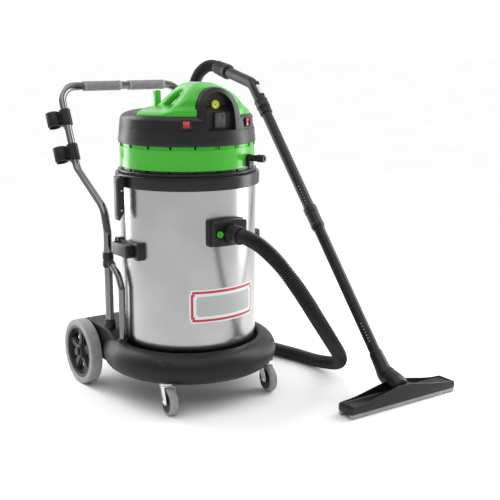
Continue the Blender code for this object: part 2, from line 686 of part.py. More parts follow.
def front_parts():
    for side_name, s in SIDES:
        place = turned_about_z(s * SWITCH_ANGLE)
        rocker = box("switch_rocker_" + side_name, (-0.0095, -0.1975, SWITCH_Z - 0.0078),
                     (0.0095, -0.1850, SWITCH_Z + 0.0078), 0.0015, 1, place)
        show(rocker, (0.6, 0.02, 0.03), 0.3)
    face = -SOCKET_FACE - 0.0005
    flap = box("socket_flap", (-0.0175, face - 0.0045, 0.806), (0.0175, face, 0.847), 0.0015, 1)
    show(flap, (0.12, 0.12, 0.125), 0.5)
    gauge = Matrix.Translation((0, -RECESS_FLOOR, GAUGE_Z)) @ ALONG_Y_FORWARD
    dial = [
        (0, 0.0065), (0.0080, 0.0065), (0.0125, 0.0035), (0.0125, 0.0005), (0.0108, 0.0005),
        (0.0108, -0.0165), (0, -0.0165),
    ]
    show(turned("suction_gauge", dial, 20, gauge), (0.65, 0.75, 0.05), 0.25)


def dome_height(r):
    """Top of the housing at this radius."""
    for (r0, z0), (r1, z1) in zip(DOME, DOME[1:]):
        if r <= r1:
            return z0 + (z1 - z0) * (r - r0) / (r1 - r0)
    return DOME[-1][1]


def cover_reach(y):
    """Half the cover's width at this y: the housing's round in front, tapering to a tail behind."""
    if y <= -0.030:
        return math.sqrt(0.1835 ** 2 - y * y)
    return 0.181 - 0.159 * (y + 0.030) / 0.188


def cover_height(x, y):
    """Top of the green cover: a skin on the housing, and a bell-shaped saddle along its middle."""
    skin = dome_height(math.hypot(x, y)) + 0.0040
    ridge = max(skin, 0.929 - 0.80 * max(0.0, y + 0.02) - 0.30 * max(0.0, -0.10 - y))
    edge = 1 - min(1.0, (cover_reach(y) - abs(x)) / 0.012)
    spread = 0.098 - 0.080 * min(1.0, max(0.0, (y + 0.095) / 0.095))
    return skin + (ridge - skin) * math.exp(-(abs(x) / spread) ** 3) - 0.006 * edge ** 2


def top_cover():
    """A saddle-shaped cap with the carrying handle arching over its rear."""
    bm = bmesh.new()
    rows = []
    across = (0.09, 0.20, 0.36, 0.54, 0.72, 0.87, 0.96, 1.0)
    across = [-part for part in reversed(across)] + [0.0, *across]
    columns = len(across)
    ys = [-0.170, -0.163, -0.150, -0.130, -0.105, -0.080, -0.055, -0.030, -0.005]
    ys += [0.020, 0.045, 0.070, 0.100, 0.130, 0.158]
    for y in ys:
        reach = cover_reach(y)
        rows.append([bm.verts.new((reach * part, y, cover_height(reach * part, y))) for part in across])
    low = [[bm.verts.new((v.co.x, v.co.y, COVER_BOTTOM)) for v in row] for row in rows]
    for level, flip in ((rows, False), (low, True)):
        for a, b in zip(level, level[1:]):
            for i in range(columns - 1):
                quad = (a[i], a[i + 1], b[i + 1], b[i])
                bm.faces.new(quad[::-1] if flip else quad)
    rim_top, rim_low = (
        g[0] + [r[-1] for r in g[1:]] + g[-1][-2::-1] + [r[0] for r in g[-2:0:-1]] for g in (rows, low)
    )
    count = len(rim_top)
    for i in range(count):
        j = (i + 1) % count
        bm.faces.new((rim_top[j], rim_top[i], rim_low[i], rim_low[j]))
    bmesh.ops.recalc_face_normals(bm, faces=bm.faces[:])
    cover = from_bmesh("top_cover", bm)
    points = [
        (0, -0.060, 0.911), (0, -0.015, 0.912), (0, 0.0255, 0.9055),
        (0, 0.0785, 0.882), (0, 0.1150, 0.863), (0, 0.150, 0.848),
    ]
    bar = as_mesh(tube("carry_bar", smooth_route(points, 10), 0.0135, 3))
    cut(cover, hide(bar), "UNION")
    slab = panel_slab("panel_clearance", PANEL_HALF_WIDTH + GAP, 0.79, PANEL_TOP + GAP, 0.1197, 0.22)
    cut(cover, slab)
    # The saddle's front leans back with its height, so that the panel stands proud of it.
    lean = [
        (0, 0.950), (0.125, 0.950), (0.130, 0.935), (0.142, 0.917), (0.150, 0.905), (0.165, 0.885),
        (0.172, 0.862), (0.188, 0.851), (0.188, 0.820), (0, 0.820),
    ]
    cut(cover, hide(turned("cover_lean", lean, ROUND)), "INTERSECT")
    cut(cover, hide(turned("housing_clearance", housing_profile(GAP) + [(0, SKIRT_BOTTOM)], ROUND)))
    show(cover, GREEN, 0.3)


def cable_gland():
    """A hollow elbow on the ring's side, where the mains lead goes in."""
    place = turned_about_z(math.radians(29))
    outward = place @ Matrix.Translation((0, 0, 0.716)) @ ALONG_Y_FORWARD
    inner = RING_RADIUS + 0.0012
    foot = box("cable_gland", (-0.0105, -0.2110, 0.692), (0.0105, -inner, 0.729), 0.002, 1, place)
    pipe = [
        (0, 0.215), (0.0048, 0.215), (0.0048, 0.253), (0.0112, 0.253),
        (0.0112, 0.2425), (0.0095, 0.2425), (0.0095, 0.205), (0, 0.205),
    ]
    cut(foot, hide(turned("gland_pipe", pipe, 16, outward)), "UNION")
    show(foot, BLACK, 0.4)


def motors():
    for side_name, s in SIDES:
        place = Matrix.Translation((s * MOTOR_X, 0.012, 0))
        can = [
            (0, 0.824), (0.030, 0.824), (0.046, 0.814), (0.048, 0.742), (0.070, 0.740),
            (0.070, FLANGE_TOP + GAP), (0, FLANGE_TOP + GAP),
        ]
        show(turned("suction_motor_" + side_name, can, 20, place), (0.45, 0.45, 0.46), 0.35, 1.0)


def filters():
    top = HEAD_BOTTOM - GAP
    cage = [(0.090, top), (0.090, 0.668), (0.064, 0.666), (0.064, 0.560), (0.060, 0.560), (0.060, top)]
    cage_obj = turned("filter_cage", cage, 24, closed=True)
    slot = ((-0.010, -0.09, 0.575), (0.010, -0.04, 0.650))
    slots = 6
    for i in range(slots):
        cut(cage_obj, hide(box("cage_slot_%d" % i, *slot, place=turned_about_z(TURN * i / slots))))
    cut(cage_obj, hide(box("cage_bar", (-0.062, -0.005, 0.560), (0.062, 0.005, 0.564))), "UNION")
    show(cage_obj, BLACK, 0.5)
    cartridge = ring("filter_cartridge", 0.094, 0.160, 0.575, top - 0.002, 24)
    show(cartridge, (0.75, 0.73, 0.68), 0.9)
    steps = 8
    turn = [math.pi * i / steps for i in range(steps + 1)]
    ball = [(0.045 * math.sin(a), 0.590 + 0.024 * math.cos(a)) for a in turn]
    ball[0] = (0, ball[0][1])
    ball[-1] = (0, ball[-1][1])
    show(turned("float_valve", ball, 20), (0.80, 0.15, 0.05), 0.4)


# ---- wand, hose and nozzle ----

def on_wand(distance, tilt=WAND_TILT):
    """A point this far up the wand's axis from the neck's corner, or along the neck's with its tilt."""
    y = ELBOW[0] + distance * math.sin(tilt)
    z = ELBOW[1] + distance * math.cos(tilt)
    return Vector((WAND_X, y, z))


def wand():
    place = aligned(on_wand(0), on_wand(1))
    r = WAND_TUBE_RADIUS
    bore = r - WAND_WALL
    socket = r + GAP
    a, b = LOWER_TUBE
    c, d = UPPER_TUBE
    # The lower tube ends in a wide socket that the upper tube slides into.
    lower = [
        (socket + 0.003, b + 0.020), (socket + 0.0042, b + 0.015), (socket + 0.0042, b - 0.052),
        (r, b - 0.064), (r, a), (bore, a), (bore, c - 0.001), (socket, c - 0.001), (socket, b + 0.020),
    ]
    show(turned("wand_lower_tube", lower, 20, place, closed=True), BLACK, 0.35)
    show(ring("wand_upper_tube", bore, r, c, d, 20, place), BLACK, 0.35)
    bend = on_wand(GRIP_BEND)
    end = Vector((WAND_X, 0.4170, 0.9400))
    path = bent([on_wand(0.9965), bend, end], 0.060, 5)
    grip = as_mesh(tube("wand_grip", path, 0.0190, 4))
    collar = [
        (0, 1.0145), (0.0215, 1.0145), (0.0230, 1.0085), (0.0230, 0.9815), (0.0212, 0.9785),
        (0.0212, 0.9545), (0, 0.9545),
    ]
    cut(grip, hide(turned("grip_collar", collar, 20, place)), "UNION")
    cut(grip, hide(disc("grip_bore", r + GAP, 0.90, UPPER_TUBE[1] + GAP, 20, place)))
    thumb = aligned(on_wand(1.0185), on_wand(1.5))
    seat = box("slide_seat", (-0.009, 0.0165, 0.0), (0.009, 0.05, 0.060), place=thumb)
    cut(grip, hide(seat))
    show(grip, BLACK, 0.45)
    slide = box("airflow_slide", (-0.0080, 0.0170, 0.008), (0.0080, 0.0240, 0.042), 0.002, 2, thumb)
    show(slide, (0.62, 0.62, 0.62), 0.45)
    start = end + (end - bend).normalized() * GAP
    length = 0.0780
    cuff = [
        (0, length), (0.0222, length), (0.0240, length - 0.004), (0.0262, 0.020), (0.0262, 0.004),
        (0.0245, 0.0), (0, 0.0),
    ]
    show(turned("hose_cuff_wand", cuff, 24, aligned(start, start + end - bend)), BLACK, 0.5)


def nozzle_elbow():
    """The swivelling elbow: it turns on the neck's face, and the lower tube sits in it."""
    up_wand = aligned(on_wand(0), on_wand(1))
    along_neck = aligned(on_wand(0), on_wand(1, NECK_TILT))
    socket = [
        (0, 0.072), (0.0195, 0.072), (0.0205, 0.068), (0.0225, 0.020), (0.0255, 0.000), (0.0200, -0.0130),
        (0, -0.0130),
    ]
    elbow = turned("nozzle_elbow", socket, 20, up_wand)
    r = NECK_RADIUS
    foot = [
        (0, 0.0130), (0.0200, 0.0120), (0.0262, 0.0020), (r, -0.0060), (r, NECK_JOINT - 0.002),
        (0, NECK_JOINT - 0.002),
    ]
    cut(elbow, hide(turned("elbow_foot", foot, 20, along_neck)), "UNION")
    cut(elbow, hide(disc("elbow_face", 0.060, -0.090, NECK_JOINT + GAP, 20, along_neck)))
    cut(elbow, hide(disc("elbow_bore", WAND_TUBE_RADIUS + GAP, LOWER_TUBE[0] - GAP, 0.2, 20, up_wand)))
    show(elbow, BLACK, 0.4)


def nozzle():
    x = WAND_X
    half = NOZZLE_HALF_LENGTH
    front, back = NOZZLE_Y
    low, end_top, peak, peak_half = 0.0130, 0.0360, 0.0630, 0.027
    roof = [(-half, low), (half, low), (half, end_top)]
    roof += [(peak_half, peak), (-peak_half, peak), (-half, end_top)]
    place = Matrix.Translation((x, 0, 0)) @ ALONG_Y_FORWARD
    body = extruded("nozzle_body", roof, -back, -front, place, bevel=0.002)
    # On each side of the neck the top is a trench between the front and the rear wall.
    wall = 0.004
    for side_name, s in SIDES:
        a, b = sorted((x + s * 0.0265, x + s * (half - 0.012)))
        room = ((a, front + wall, end_top - 0.002), (b, back - wall, 0.1))
        cut(body, hide(box("nozzle_trench_" + side_name, *room)))
    along_neck = aligned(on_wand(0), on_wand(1, NECK_TILT))
    r = NECK_RADIUS
    neck = [
        (0, NECK_JOINT), (r, NECK_JOINT), (r + 0.0003, NECK_JOINT - 0.006), (0.0300, -0.055),
        (0.0260, -0.0750), (0, -0.0750),
    ]
    cone = hide(turned("nozzle_neck", neck, 24, along_neck))
    above_strips = ((x - 0.1, front + 0.001, low + 0.002), (x + 0.1, 0, 0.2))
    cut(cone, hide(box("nozzle_neck_trim", *above_strips)), "INTERSECT")
    cut(body, cone, "UNION")
    mouth = ((x - half + 0.008, front + 0.014, -0.01), (x + half - 0.008, back - 0.014, 0.030))
    cut(body, hide(box("nozzle_slot", *mouth)))
    show(body, BLACK, 0.4)
    for strip_name, a in (("front", front + 0.002), ("rear", back - 0.012)):
        size = ((x - half + 0.001, a, 0.0), (x + half - 0.001, a + 0.010, low - GAP))
        show(box("nozzle_strip_" + strip_name, *size), (0.35, 0.35, 0.35), 0.6)


def hose():
    show(tube("hose", smooth_route(HOSE_ROUTE, 64), HOSE_RADIUS, 2), (0.03, 0.03, 0.03), 0.55)


trolley_base()
rear_axle()
for NAME, SIGN in SIDES:
    rear_wheel(NAME, SIGN)
    caster(NAME, SIGN)
tank()
for NAME, SIGN in SIDES:
    tank_handle(NAME, SIGN)
    latch(NAME, SIGN)
inlet()
push_handle()
for NAME, SIGN in SIDES:
    frame_leg(NAME, SIGN)
tool_clip("upper", 0.368, 0.811)
tool_clip("lower", 0.3300, 0.7040)
head_flange()
cooling_ring()
head_housing()
front_parts()
top_cover()
cable_gland()
motors()
filters()
wand()
nozzle_elbow()
nozzle()
hose()
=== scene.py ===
"""Looks of the wet and dry vacuum cleaner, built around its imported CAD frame.

Metres, +Z up.  Shapes are made round the tank's axis, as the frame has them, and then
moved to where the frame's tank stands.  The front faces -Y and left is -X.
"""
import math

import bmesh
import bpy
from mathutils import Matrix, Vector


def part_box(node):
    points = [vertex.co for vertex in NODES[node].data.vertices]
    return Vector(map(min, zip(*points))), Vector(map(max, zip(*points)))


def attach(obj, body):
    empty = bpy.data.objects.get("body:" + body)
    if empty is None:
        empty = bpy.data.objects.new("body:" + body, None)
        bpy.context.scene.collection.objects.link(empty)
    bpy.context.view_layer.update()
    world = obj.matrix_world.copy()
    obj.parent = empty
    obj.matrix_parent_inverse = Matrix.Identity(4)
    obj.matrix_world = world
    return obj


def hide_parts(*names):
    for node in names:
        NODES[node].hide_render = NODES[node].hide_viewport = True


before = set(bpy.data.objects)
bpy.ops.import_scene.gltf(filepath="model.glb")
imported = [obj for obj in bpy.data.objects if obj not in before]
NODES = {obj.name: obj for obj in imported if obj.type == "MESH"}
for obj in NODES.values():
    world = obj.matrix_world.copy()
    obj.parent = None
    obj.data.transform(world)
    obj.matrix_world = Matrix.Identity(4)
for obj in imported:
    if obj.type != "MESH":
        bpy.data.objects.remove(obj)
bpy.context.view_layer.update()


# ---- where things are, read from the frame ----

def middle(node):
    low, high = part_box(node)
    return (low + high) / 2


TANK_LOW, TANK_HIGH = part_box("tank_shell")
AXIS = Vector((middle("tank_shell").x, middle("tank_shell").y, 0))
PLACE = Matrix.Translation(AXIS)


TANK_RADIUS = (TANK_HIGH.x - TANK_LOW.x) / 2
TANK_BOTTOM, TANK_TOP = TANK_LOW.z, TANK_HIGH.z
WAND_X = middle("wand_upper_tube").x - AXIS.x
WAND_TILT = math.radians(39.65)
NECK_TILT = math.radians(71.6)
ELBOW = (-0.4191, 0.0730)
UPRIGHT_X, UPRIGHT_Y = 0.217, 0.103
BRACE_Y = 0.0205
WHEEL_Y, WHEEL_RADIUS = 0.2195, 0.1005
CASTER_STEM = (0.1725, -0.158)          # x and y; x is for the right one
CASTER_HEADING = math.radians(8)        # both casters stand turned a little
INLET_Z = 0.516
RECESS_FLOOR, SOCKET_FACE = 0.152, 0.1765   # in the head's panel, along -Y
GAUGE_Z = 0.869
GRIP_MIDDLE = 0.010                     # x of the gap between the push handle's two grips
DOME = ((0.0, 0.8530), (0.107, 0.8512), (0.140, 0.8490), (0.168, 0.8445), (0.186, 0.8380), (0.194, 0.8270))
SIDES = (("left", -1), ("right", 1))
TURN = 2 * math.pi
RIB_COUNT = 18                          # vents round the motor head
ALONG_X = Matrix.Rotation(math.pi / 2, 4, "Y")
FORWARD = Matrix.Rotation(math.pi / 2, 4, "X")          # local Z becomes -Y
SIDEWAYS = Matrix.Rotation(math.pi / 2, 4, "Z") @ Matrix.Rotation(math.pi / 2, 4, "X")

# The hose's route from the inlet over the floor to the wand, as the CAD lays it.
HOSE_ROUTE = (
    (0.000, -0.2865, 0.516), (0.000, -0.318, 0.514), (0.007, -0.358, 0.503),
    (0.024, -0.414, 0.467), (0.050, -0.452, 0.415), (0.086, -0.466, 0.358),
    (0.123, -0.462, 0.308), (0.207, -0.424, 0.218), (0.301, -0.354, 0.135),
    (0.382, -0.254, 0.070), (0.414, -0.172, 0.040), (0.423, -0.090, 0.024),
    (0.413, -0.003, 0.022), (0.392, 0.083, 0.022), (0.374, 0.180, 0.022),
    (0.366, 0.280, 0.022), (0.373, 0.390, 0.023), (0.388, 0.490, 0.038),
    (0.403, 0.574, 0.087), (0.418, 0.632, 0.175), (0.426, 0.657, 0.300),
    (0.428, 0.667, 0.440), (0.428, 0.671, 0.600), (0.427, 0.672, 0.740),
    (0.4265, 0.670, 0.825), (0.4260, 0.654, 0.884), (0.4255, 0.618, 0.930),
    (0.4255, 0.564, 0.957), (0.4255, 0.528, 0.962), (0.4255, 0.4972, 0.9588),
)
HOSE_RADIUS = 0.0210
HOSE_RIB = 0.0060                       # from one corrugation to the next


# ---- mesh tools ----

def aligned(start, end):
    """A place at start whose Z axis points to end."""
    start = Vector(start)
    way = Vector(end) - start
    return Matrix.Translation(start) @ way.to_track_quat("Z", "Y").to_matrix().to_4x4()


def sideways(s):
    """Turns local Z to point along X, toward the side s."""
    return Matrix.Rotation(s * math.pi / 2, 4, "Y")


def both_sides(half):
    """A profile's upper half, followed by its mirror image below."""
    return list(half) + [(r, -z, *rounding) for r, z, *rounding in reversed(half)]


def about_z(angle):
    return Matrix.Rotation(angle, 4, "Z")


def obj_from(name, bm, place=None, smooth=32):
    """An object from a bmesh made round the tank's axis, moved to its place in the frame."""
    bmesh.ops.recalc_face_normals(bm, faces=bm.faces[:])
    mesh = bpy.data.meshes.new(name)
    bm.to_mesh(mesh)
    bm.free()
    if place is not None:
        mesh.transform(place)
    mesh.transform(PLACE)
    obj = bpy.data.objects.new(name, mesh)
    bpy.context.scene.collection.objects.link(obj)
    soften(obj, smooth)
    return obj


def soften(obj, degrees=32):
    obj.data.shade_smooth()
    obj.data.set_sharp_from_angle(angle=math.radians(degrees))


def baked(obj, degrees=32):
    """obj with its modifiers applied."""
    bpy.context.view_layer.update()
    graph = bpy.context.evaluated_depsgraph_get()
    mesh = bpy.data.meshes.new_from_object(obj.evaluated_get(graph))
    obj.modifiers.clear()
    obj.data = mesh
    soften(obj, degrees)
    return obj


def modified(obj, kind, degrees=32, **settings):
    edit = obj.modifiers.new(kind.lower(), kind)
    for name, value in settings.items():
        setattr(edit, name, value)
    return baked(obj, degrees)


def bevelled(obj, width, segments=2, angle=40, degrees=32):
    return modified(obj, "BEVEL", degrees, width=width, segments=segments, limit_method="ANGLE",
                    angle_limit=math.radians(angle), use_clamp_overlap=True)


def combined(obj, other, operation="DIFFERENCE", degrees=32, solver="EXACT"):
    """obj cut or joined with other, which is used up."""
    modified(obj, "BOOLEAN", degrees, operation=operation, object=other, solver=solver)
    bpy.data.objects.remove(other, do_unlink=True)
    return obj


def joined(obj, *others):
    """Several meshes as one object."""
    bm = bmesh.new()
    for part in (obj, *others):
        bm.from_mesh(part.data)
    bm.to_mesh(obj.data)
    bm.free()
    for part in others:
        bpy.data.objects.remove(part, do_unlink=True)
    soften(obj)
    return obj


def eased(points, closed=False, steps=4):
    """An outline with each corner (u, v, radius) rounded; a corner of two numbers stays sharp."""
    count = len(points)
    path = []
    for i, corner in enumerate(points):
        ends = not closed and i in (0, count - 1)
        radius = corner[2] if len(corner) > 2 else 0.0
        here = Vector(corner[:2])
        if ends or not radius:
            path.append(here)
            continue
        back = Vector(points[i - 1][:2]) - here
        on = Vector(points[(i + 1) % count][:2]) - here
        reach = min(radius, back.length * 0.49, on.length * 0.49)
        start = here + back.normalized() * reach
        end = here + on.normalized() * reach
        for k in range(steps + 1):
            t = k / steps
            path.append(start * (1 - t) ** 2 + here * (2 * t * (1 - t)) + end * t ** 2)
    return path


def lathe(name, profile, steps=96, place=None, closed=False, smooth=32, angles=None, shift=None):
    """A profile of (radius, z) turned about Z. shift(angle, r, z) gives a new radius."""
    bm = bmesh.new()
    turn = angles or [TURN * i / steps for i in range(steps)]
    rings = []
    for point in profile:
        r, z = point[0], point[1]
        if r < 1e-7:
            rings.append([bm.verts.new((0, 0, z))])
            continue
        ring = []
        for a in turn:
            radius = shift(a, r, z) if shift else r
            ring.append(bm.verts.new((radius * math.cos(a), radius * math.sin(a), z)))
        rings.append(ring)
    if closed:
        rings.append(rings[0])
    for low, high in zip(rings, rings[1:]):
        for i in range(len(turn)):
            j = (i + 1) % len(turn)
            quad = [low[i % len(low)], low[j % len(low)], high[j % len(high)], high[i % len(high)]]
            face = list(dict.fromkeys(quad))
            if len(face) > 2:
                bm.faces.new(face)
    return obj_from(name, bm, place, smooth)


def slab(name, outline, low, high, place=None, bevel=0.0, segments=2, smooth=32):
    """A flat outline in local XY, extruded along local Z, with its edges rounded."""
    bm = bmesh.new()
    face = bm.faces.new([bm.verts.new((p[0], p[1], low)) for p in outline])
    top = bmesh.ops.extrude_face_region(bm, geom=[face])["geom"]
    moved = [v for v in top if isinstance(v, bmesh.types.BMVert)]
    bmesh.ops.translate(bm, verts=moved, vec=(0, 0, high - low))
    obj = obj_from(name, bm, place, smooth)
    if bevel:
        bevelled(obj, bevel, segments, degrees=smooth)
    return obj


def block(name, low, high, bevel=0.0, segments=3, place=None, smooth=32):
    bm = bmesh.new()
    size = [b - a for a, b in zip(low, high)]
    centre = [(a + b) / 2 for a, b in zip(low, high)]
    bmesh.ops.create_cube(bm, size=1.0, matrix=Matrix.Translation(centre) @ Matrix.Diagonal((*size, 1.0)))
    obj = obj_from(name, bm, place, smooth)
    if bevel:
        bevelled(obj, bevel, segments, degrees=smooth)
    return obj


def bent(corners, radius, steps=10):
    """The corner points with each inner corner rounded to an arc of this radius."""
    corners = [Vector(c) for c in corners]
    path = [corners[0]]
    for before, corner, after in zip(corners, corners[1:], corners[2:]):
        back = (before - corner).normalized()
        on = (after - corner).normalized()
        half = back.angle(on) / 2
        centre = corner + (back + on).normalized() * (radius / math.sin(half))
        start = (corner + back * (radius / math.tan(half)) - centre).normalized()
        end = (corner + on * (radius / math.tan(half)) - centre).normalized()
        path += [centre + start.slerp(end, i / steps) * radius for i in range(steps + 1)]
    path.append(corners[-1])
    return path


def smooth_route(points, count):
    """count points, evenly spaced, on a smooth curve through the route's points."""
    points = [Vector(p) for p in points]
    ends = [points[0] * 2 - points[1]] + points + [points[-1] * 2 - points[-2]]
    fine = []
    for p0, p1, p2, p3 in zip(ends, ends[1:], ends[2:], ends[3:]):
        d01 = (p1 - p0).length ** 0.5
        d12 = (p2 - p1).length ** 0.5
        d23 = (p3 - p2).length ** 0.5
        m1 = (p2 - p1 + ((p1 - p0) / d01 - (p2 - p0) / (d01 + d12)) * d12)
        m2 = (p2 - p1 + ((p3 - p2) / d23 - (p3 - p1) / (d12 + d23)) * d12)
        for i in range(24):
            t = i / 24
            fine.append(p1 * (2 * t ** 3 - 3 * t ** 2 + 1) + m1 * (t ** 3 - 2 * t ** 2 + t)
                        + p2 * (-2 * t ** 3 + 3 * t ** 2) + m2 * (t ** 3 - t ** 2))
    fine.append(points[-1])
    along = [0.0]
    for a, b in zip(fine, fine[1:]):
        along.append(along[-1] + (b - a).length)
    even = []
    j = 0
    for i in range(count):
        want = along[-1] * i / (count - 1)
        while j < len(fine) - 2 and along[j + 1] < want:
            j += 1
        even.append(fine[j].lerp(fine[j + 1], (want - along[j]) / (along[j + 1] - along[j])))
    return even


def swept(name, path, radius, sides=32, closed_ends=True, smooth=40):
    """A round tube along path. radius is a number or one number for each point."""
    count = len(path)
    radii = radius if isinstance(radius, (list, tuple)) else [radius] * count
    bm = bmesh.new()
    way = (path[1] - path[0]).normalized()
    side = way.orthogonal().normalized()
    rings = []
    for i, point in enumerate(path):
        ahead = (path[min(i + 1, count - 1)] - path[max(i - 1, 0)]).normalized()
        side = (side - ahead * side.dot(ahead)).normalized()
        up = ahead.cross(side)
        ring = []
        for k in range(sides):
            a = TURN * k / sides
            ring.append(bm.verts.new(point + (side * math.cos(a) + up * math.sin(a)) * radii[i]))
        rings.append(ring)
    for low, high in zip(rings, rings[1:]):
        for k in range(sides):
            bm.faces.new((low[k], low[(k + 1) % sides], high[(k + 1) % sides], high[k]))
    if closed_ends:
        bm.faces.new(rings[0][::-1])
        bm.faces.new(rings[-1])
    return obj_from(name, bm, None, smooth)


# ---- materials ----

class Nodes:
    """A material's node tree, with short ways to add and link nodes."""

    def __init__(self, name):
        self.material = bpy.data.materials.new(name)
        self.material.use_nodes = True
        self.tree = self.material.node_tree
        self.shader = self.tree.nodes["Principled BSDF"]
        self.where = self.add("ShaderNodeTexCoord").outputs["Object"]

    def add(self, kind, **values):
        node = self.tree.nodes.new(kind)
        for name, value in values.items():
            node.inputs[name.replace("_", " ")].default_value = value
        return node

    def link(self, out, into):
        self.tree.links.new(out, into)

    def stretched(self, scale):
        node = self.add("ShaderNodeMapping", Scale=scale)
        self.link(self.where, node.inputs["Vector"])
        return node.outputs["Vector"]

    def noise(self, scale, detail=3.0, where=None):
        node = self.add("ShaderNodeTexNoise", Scale=scale, Detail=detail)
        self.link(where or self.where, node.inputs["Vector"])
        return node.outputs["Fac"]

    def ranged(self, value, low, high, start=0.3, end=0.7):
        node = self.add("ShaderNodeMapRange")
        node.inputs["From Min"].default_value = start
        node.inputs["From Max"].default_value = end
        node.inputs["To Min"].default_value = low
        node.inputs["To Max"].default_value = high
        self.link(value, node.inputs["Value"])
        return node.outputs["Result"]

    def mixed(self, factor, first, second):
        node = self.tree.nodes.new("ShaderNodeMix")
        node.data_type = "RGBA"
        self.link(factor, node.inputs["Factor"])
        for slot, colour in ((6, first), (7, second)):
            if isinstance(colour, tuple):
                node.inputs[slot].default_value = (*colour, 1.0)
            else:
                self.link(colour, node.inputs[slot])
        return node.outputs[2]

    def bump(self, height, strength, distance):
        node = self.add("ShaderNodeBump", Strength=strength, Distance=distance)
        self.link(height, node.inputs["Height"])
        self.link(node.outputs["Normal"], self.shader.inputs["Normal"])


def shade(colour, factor):
    return tuple(min(1.0, c * factor) for c in colour)


def plastic(name, colour, roughness, grain=900.0, depth=0.00008, spread=0.06, coat=0.0, wear=0.12):
    """Moulded plastic: a fine grain, uneven gloss, and slightly paler rubbed patches."""
    made = Nodes(name)
    broad = made.noise(7.0, 4.0)
    tone = made.mixed(made.ranged(broad, 0, 1), shade(colour, 1 - wear), shade(colour, 1 + wear))
    scuff = made.ranged(made.noise(38.0, 8.0), 0.0, 0.35, 0.58, 0.75)
    if wear > 0.1:
        tone = made.mixed(scuff, tone, shade(colour, 1.5))
    made.link(tone, made.shader.inputs["Base Color"])
    uneven = made.ranged(made.noise(22.0, 5.0), roughness - spread, roughness + spread)
    made.link(uneven, made.shader.inputs["Roughness"])
    made.bump(made.noise(grain, 2.0), 0.35, depth)
    made.shader.inputs["Specular IOR Level"].default_value = 0.34
    if coat:
        made.shader.inputs["Coat Weight"].default_value = coat
        made.shader.inputs["Coat Roughness"].default_value = 0.06
    return made.material


def metal(name, colour, roughness, lines, spread=0.05, strength=0.12):
    """Metal with drawn or brushed lines; lines is the stretch of their noise along X, Y and Z."""
    made = Nodes(name)
    fine = made.noise(1.0, 3.0, made.stretched(lines))
    smudge = made.noise(9.0, 4.0)
    made.link(made.mixed(made.ranged(smudge, 0, 1), shade(colour, 0.93), shade(colour, 1.05)),
              made.shader.inputs["Base Color"])
    made.shader.inputs["Metallic"].default_value = 1.0
    uneven = made.ranged(fine, roughness - spread, roughness + spread)
    made.link(uneven, made.shader.inputs["Roughness"])
    made.bump(fine, strength, 0.00004)
    return made.material


def rubber(name, colour, roughness=0.7, grain=420.0):
    """Rubber: matte, mottled and a little dusty."""
    made = Nodes(name)
    mottle = made.noise(55.0, 6.0)
    dust = made.ranged(made.noise(6.0, 3.0), 0.0, 0.4, 0.5, 0.8)
    base = made.mixed(made.ranged(mottle, 0, 1), shade(colour, 0.86), shade(colour, 1.12))
    made.link(made.mixed(dust, base, shade(colour, 1.35)), made.shader.inputs["Base Color"])
    made.link(made.ranged(mottle, roughness - 0.08, roughness + 0.08), made.shader.inputs["Roughness"])
    made.bump(made.noise(grain, 4.0), 0.4, 0.00012)
    return made.material


def zinc(name):
    """Zinc plate: bright, with faint crystals."""
    made = Nodes(name)
    cell = made.add("ShaderNodeTexVoronoi", Scale=260.0)
    made.link(made.where, cell.inputs["Vector"])
    made.link(made.mixed(cell.outputs["Distance"], (0.84, 0.84, 0.85), (0.96, 0.96, 0.95)),
              made.shader.inputs["Base Color"])
    made.shader.inputs["Metallic"].default_value = 1.0
    made.link(made.ranged(made.noise(60.0, 5.0), 0.30, 0.46), made.shader.inputs["Roughness"])
    made.bump(made.noise(180.0, 3.0), 0.15, 0.00005)
    return made.material


def lens(name, colour):
    """Clear, glossy coloured plastic over a lit part."""
    made = Nodes(name)
    made.link(made.mixed(made.ranged(made.noise(60.0, 2.0), 0, 1), shade(colour, 0.96),
                         shade(colour, 1.04)),
              made.shader.inputs["Base Color"])
    made.shader.inputs["Roughness"].default_value = 0.12
    made.shader.inputs["Coat Weight"].default_value = 0.8
    made.shader.inputs["Coat Roughness"].default_value = 0.03
    made.shader.inputs["Subsurface Weight"].default_value = 0.25
    made.shader.inputs["Subsurface Radius"].default_value = (0.004, 0.001, 0.001)
    return made.material


def paper(name, colour):
    """Printed film or filter paper."""
    made = Nodes(name)
    fibre = made.noise(700.0, 5.0)
    made.link(made.mixed(made.ranged(fibre, 0, 1), shade(colour, 0.95), shade(colour, 1.02)),
              made.shader.inputs["Base Color"])
    made.link(made.ranged(made.noise(30.0, 3.0), 0.30, 0.42), made.shader.inputs["Roughness"])
    made.bump(fibre, 0.08, 0.00003)
    return made.material


STEEL = metal("stainless_steel", (0.43, 0.43, 0.432), 0.25, (14.0, 14.0, 500.0), 0.008, 0.004)
CHROME = metal("polished_chrome", (0.19, 0.19, 0.195), 0.09, (240.0, 240.0, 240.0), 0.02, 0.02)
ZINC = zinc("zinc_plate")
ALUMINIUM = metal("cast_aluminium", (0.50, 0.50, 0.51), 0.38, (300.0, 300.0, 300.0), 0.08, 0.2)
BASE_BLACK = plastic("base_black", (0.006, 0.006, 0.0062), 0.46, grain=1100.0, depth=0.00010)
SHELL_BLACK = plastic("shell_black", (0.011, 0.011, 0.0114), 0.36, grain=1500.0, depth=0.00006)
BAND_BLACK = plastic("band_black", (0.010, 0.010, 0.0105), 0.26, grain=1500.0, depth=0.00003, wear=0.06)
TRIM_BLACK = plastic("trim_black", (0.010, 0.010, 0.0105), 0.40)
WAND_BLACK = plastic("wand_black", (0.008, 0.008, 0.0083), 0.36, grain=1300.0, depth=0.00005)
HOSE_BLACK = plastic("hose_black", (0.008, 0.008, 0.0083), 0.42, grain=700.0, depth=0.00006)
